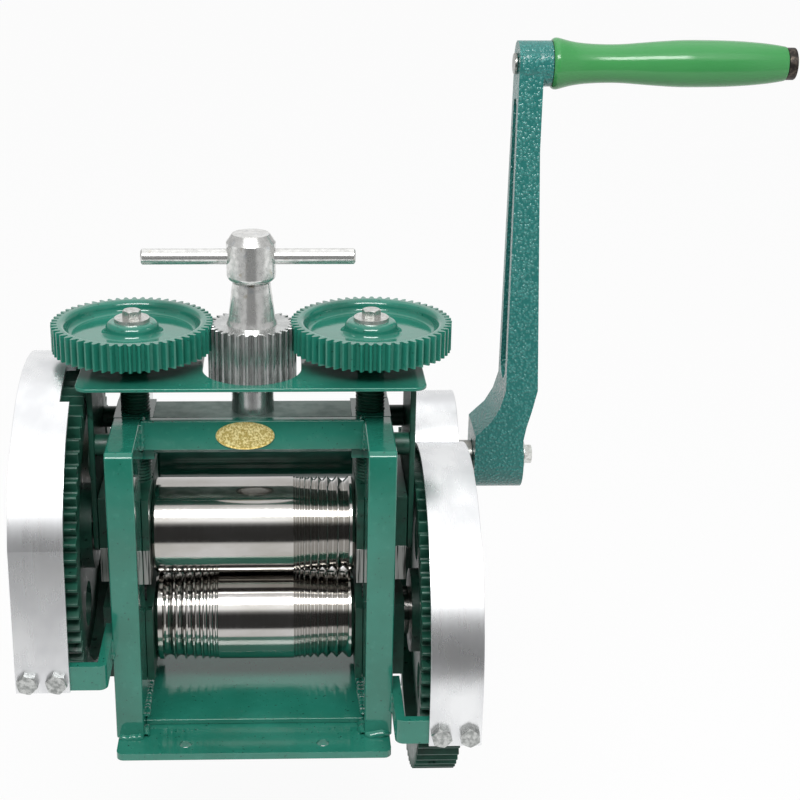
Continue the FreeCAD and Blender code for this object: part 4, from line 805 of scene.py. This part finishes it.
# ---- welds ---------------------------------------------------------------------------------------
# A bead is a row of uneven rings. The first four sizes are shares of its radius.
WELD_RING_STEP = 0.55   # from ring to ring
WELD_CIRCLE_R = 0.45    # the circle that the first ring is made from
WELD_RING_R = (0.62, 1.3)   # the range that each ring's new size is drawn from
WELD_WANDER = 0.22      # how far a ring sits off the bead's line
WELD_CHANGE = 0.6       # how much of the way each ring goes from the last one's size to a new one
WELD_END = 0.55         # an end ring's radius, over what it would be elsewhere
WELD_ROUGHNESS = (0.88, 1.12)   # a point's distance from the ring's middle, over the ring's radius
WELD_SKEW = 0.2         # how far a point moves along the bead, over the step from ring to ring
BEADS = (
    # name, start and end on the right and radius in mm, and the seed to which the side adds -1 or 1
    ("bar_front", (60.4, -19.0, 155.5), (60.4, -19.0, 171.5), 2.1, 11),
    ("bar_under", (60.3, -18.5, 155.4), (60.3, -13.5, 155.4), 1.8, 21),
    ("bar_top", (59.8, -18.6, 172.3), (59.8, -14.0, 172.3), 1.7, 25),
    ("tie", (60.2, -50.0, 7.0), (60.2, 50.0, 7.0), 2.0, 31),
    ("foot_inner", (60.2, -65.0, 4.2), (60.2, -52.5, 4.2), 3.0, 41),
    ("foot_front", (61.0, -65.6, 4.3), (74.5, -65.6, 4.3), 2.8, 51),
    ("foot_rear", (61.0, 65.6, 4.3), (74.5, 65.6, 4.3), 2.2, 71),
)
# The bead up each strap bracket, in millimetres.
BRACKET_BEAD_X = 75.7
BRACKET_BEAD_Y = -65.0
BRACKET_BEAD_UP = (0.8, 13.4)   # its ends, above the bracket's lower end
BRACKET_BEAD_R = 1.9
BRACKET_BEAD_SEED = 91


def weld(name, start_mm, end_mm, radius_mm, seed):
    """A lumpy bead of weld metal from start to end, painted over with the frame."""
    rng = random.Random(seed)
    start, end = Vector(start_mm) * MM, Vector(end_mm) * MM
    along = end - start
    count = max(4, round(along.length / (radius_mm * MM * WELD_RING_STEP)))
    mesh = bmesh.new()
    bmesh.ops.create_circle(mesh, cap_ends=True, radius=radius_mm * MM * WELD_CIRCLE_R, segments=WELD_STEPS)
    cap = mesh.faces[:][0]
    step = along.length / count
    size = 1.0
    for i in range(count + 1):
        if i:
            cap = bmesh.ops.extrude_discrete_faces(mesh, faces=[cap])["faces"][0]
        size += WELD_CHANGE * (rng.uniform(*WELD_RING_R) - size)
        taper = WELD_END if i in (0, count) else 1.0
        shift = Vector((rng.uniform(-1, 1), rng.uniform(-1, 1), 0)) * radius_mm * MM * WELD_WANDER
        for vert in cap.verts:
            ray = Vector((vert.co.x, vert.co.y, 0)).normalized()
            reach = radius_mm * MM * size * taper * rng.uniform(*WELD_ROUGHNESS)
            height = i * step + rng.uniform(-WELD_SKEW, WELD_SKEW) * step
            vert.co = ray * reach + shift + Vector((0, 0, height))
    bmesh.ops.recalc_face_normals(mesh, faces=mesh.faces)
    bmesh.ops.transform(mesh, matrix=towards(along), verts=mesh.verts)
    bmesh.ops.translate(mesh, verts=mesh.verts, vec=start)
    made = piece(name, mesh, "base_plate", sharp=180.0)
    smooth = made.modifiers.new("flow", "SUBSURF")
    smooth.levels = smooth.render_levels = WELD_SMOOTHING


def all_welds():
    """Beads where the crossbar, tie plate, base and strap brackets meet the side frames."""
    for side, name in ((-1, "left"), (1, "right")):
        for bead, start, end, radius, seed in BEADS:
            start, end = ((side * x, y, z) for x, y, z in (start, end))
            weld("weld_%s_%s" % (bead, name), start, end, radius, seed + side)
        foot_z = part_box("guard_brackets_" + name)[0].z / MM
        start, end = ((side * BRACKET_BEAD_X, BRACKET_BEAD_Y, foot_z + up) for up in BRACKET_BEAD_UP)
        weld("weld_bracket_" + name, start, end, BRACKET_BEAD_R, BRACKET_BEAD_SEED + side)


all_welds()

# ---- studio --------------------------------------------------------------------------------------
STUDIO_BANDS = (
    # degrees from the viewer's side (0) over the top (90) to behind the mill (180), and the level there
    (-180, 0.8), (-150, 0.6), (-60, 0.05), (19, 0.05), (25, 0.30), (33, 1.6),
    (57, 1.6), (68, 0.9), (90, 1.1), (122, 1.3), (132, 0.9), (180, 0.85),
)
# Each fade runs over the sideways part of the direction, which is 0 ahead and 1 straight to a side.
BAND_FADE = (0.3, 0.55)
BAND_ASIDE = 0.3        # what a band keeps of its level past its fade
WALL_FADE = (0.3, 0.5)
WALL_LEVEL = 0.42       # the walls left and right


def studio():
    """A soft box in front and above, a dark strip behind the viewer and a pale wall behind the mill."""
    world = bpy.data.worlds.new("studio")
    scene.world = world
    tree = empty_tree(world)
    way = add(tree, "SeparateXYZ", links={0: add(tree, "TexCoord").outputs["Generated"]})
    ahead = add(tree, "Math", {"operation": "MULTIPLY", 1: -1.0}, {0: way.outputs["Y"]}).outputs[0]
    angle = add(tree, "Math", {"operation": "ARCTAN2"}, {0: way.outputs["Z"], 1: ahead}).outputs[0]
    share = add(tree, "Math", {"operation": "MULTIPLY_ADD", 1: 0.5 / math.pi, 2: 0.5}, {0: angle}).outputs[0]
    ramp = add(tree, "ValToRGB", links={0: share})
    stops = ramp.color_ramp.elements
    while len(stops) < len(STUDIO_BANDS):
        stops.new(0.5)
    brightest = max(level for _, level in STUDIO_BANDS)
    for stop, (degrees, level) in zip(stops, STUDIO_BANDS):
        stop.position = (degrees + 180) / 360
        stop.color = (level / brightest, level / brightest, level / brightest, 1)
    aside = add(tree, "Math", {"operation": "ABSOLUTE"}, {0: way.outputs["X"]}).outputs[0]
    walls = span(tree, aside, *WALL_FADE, 0.0, WALL_LEVEL / brightest, course="SMOOTHSTEP")
    kept = span(tree, aside, *BAND_FADE, 1.0, BAND_ASIDE, course="SMOOTHSTEP")
    middle = add(tree, "Math", {"operation": "MULTIPLY"}, {0: ramp.outputs[0], 1: kept}).outputs[0]
    level = add(tree, "Math", {"operation": "MAXIMUM"}, {0: middle, 1: walls}).outputs[0]
    mirrored = add(tree, "Background", {"Strength": brightest}, {"Color": level})
    backdrop = add(tree, "Background", {"Color": (1, 1, 1, 1), "Strength": 1.0})
    seen = add(tree, "LightPath").outputs["Is Camera Ray"]
    mixed = add(tree, "MixShader", links={0: seen, 1: mirrored.outputs[0], 2: backdrop.outputs[0]})
    add(tree, "OutputWorld", links={"Surface": mixed.outputs[0]})


studio()

# These four are metres.
FLOOR_SIZE = 12.0
FLOOR_FRONT = -0.82     # the floor's front edge
FLOOR_NEAR = -0.62      # behind this line the floor glows in full where it is mirrored
FLOOR_CLEARANCE = 0.004     # between the floor and the crank's lowest reach
FLOOR_GREY = (0.75, 0.75, 0.75, 1)
FLOOR_GLOW_SEEN = 0.92  # how much of the floor's look is its glow, as the camera sees it
FLOOR_GLOW_MIRRORED = 0.88      # and as bright pieces mirror it


def pale_floor():
    """A wide pale floor just under the lowest reach of the crank, which swings below the base.

    The crank reaches as far below its shaft's axis as its top is above it at rest.
    """
    shaft_low, shaft_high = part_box("crank_shaft")
    height = shaft_low.z + shaft_high.z - CAD_BOX[1].z - FLOOR_CLEARANCE
    mesh = bmesh.new()
    bmesh.ops.create_grid(mesh, x_segments=1, y_segments=1, size=FLOOR_SIZE / 2)
    bmesh.ops.translate(mesh, verts=mesh.verts, vec=(0, FLOOR_FRONT + FLOOR_SIZE / 2, height))
    data = bpy.data.meshes.new("floor")
    mesh.to_mesh(data)
    mesh.free()
    floor = bpy.data.objects.new("floor", data)
    scene.collection.objects.link(floor)
    material = bpy.data.materials.new("floor_white")
    tree = empty_tree(material)
    matt = add(tree, "BsdfDiffuse", {"Color": FLOOR_GREY})
    ray = add(tree, "LightPath").outputs
    depth = add(tree, "SeparateXYZ", links={0: add(tree, "TexCoord").outputs["Object"]}).outputs["Y"]
    near = span(tree, depth, FLOOR_FRONT, FLOOR_NEAR, 0.0, 1.0)
    level = add(tree, "Math", {"operation": "MAXIMUM"}, {0: ray["Is Camera Ray"], 1: near}).outputs[0]
    glow = add(tree, "Emission", {"Color": (1, 1, 1, 1)}, {"Strength": level})
    settings = {"operation": "MULTIPLY", 1: FLOOR_GLOW_MIRRORED}
    mirrored = add(tree, "Math", settings, {0: ray["Is Glossy Ray"]}).outputs[0]
    settings = {"operation": "MULTIPLY_ADD", 1: FLOOR_GLOW_SEEN}
    share = add(tree, "Math", settings, {0: ray["Is Camera Ray"], 2: mirrored}).outputs[0]
    mixed = add(tree, "MixShader", links={0: share, 1: matt.outputs[0], 2: glow.outputs[0]})
    add(tree, "OutputMaterial", links={"Surface": mixed.outputs[0]})
    data.materials.append(material)


pale_floor()


def lamp(name, place, aim, width, depth, watts, mirrored):
    """A soft box at a place, aimed at a point. Sizes are in metres."""
    data = bpy.data.lights.new(name, "AREA")
    data.shape = "RECTANGLE"
    data.size = width
    data.size_y = depth
    data.energy = watts
    made = bpy.data.objects.new(name, data)
    made.location = place
    made.rotation_euler = (Vector(aim) - Vector(place)).to_track_quat("-Z", "Y").to_euler()
    made.visible_glossy = mirrored
    scene.collection.objects.link(made)


lamp("overhead", (-0.1, 0.1, 1.3), (0.05, 0.0, 0.15), width=0.9, depth=0.9, watts=2.0, mirrored=False)
lamp("key_box", (0.0, -0.78, 1.05), (0.0, 0.0, 0.15), width=1.0, depth=0.3, watts=12.5, mirrored=True)

CAMERA_PLACE = (0.018161, -0.814273, 0.482735)
CAMERA_TURN = (20.954, 1.724, 0.337)    # degrees of pitch down, yaw to the right and roll
SENSOR_MM = 36.0
LENS_MM = 71.094
LENS_SHIFT = (0.08701, 0.013786)        # shares of the sensor's width
NEAREST_SEEN = 0.01     # metres


def camera():
    """The view from the front, a little above the mill."""
    pitch, yaw, tilt = (math.radians(angle) for angle in CAMERA_TURN)
    forward = Vector((math.sin(yaw) * math.cos(pitch), math.cos(yaw) * math.cos(pitch), -math.sin(pitch)))
    level = Vector((math.cos(yaw), -math.sin(yaw), 0))
    upright = level.cross(forward)
    right = math.cos(tilt) * level + math.sin(tilt) * upright
    up = math.cos(tilt) * upright - math.sin(tilt) * level
    data = bpy.data.cameras.new("viewpoint")
    data.sensor_width = SENSOR_MM
    data.lens = LENS_MM
    data.shift_x, data.shift_y = LENS_SHIFT
    data.clip_start = NEAREST_SEEN
    made = bpy.data.objects.new("viewpoint", data)
    turn = Matrix((right, up, -forward)).transposed().to_4x4()
    made.matrix_world = Matrix.Translation(CAMERA_PLACE) @ turn
    scene.collection.objects.link(made)
    scene.camera = made


camera()
scene.view_settings.view_transform = "Standard"
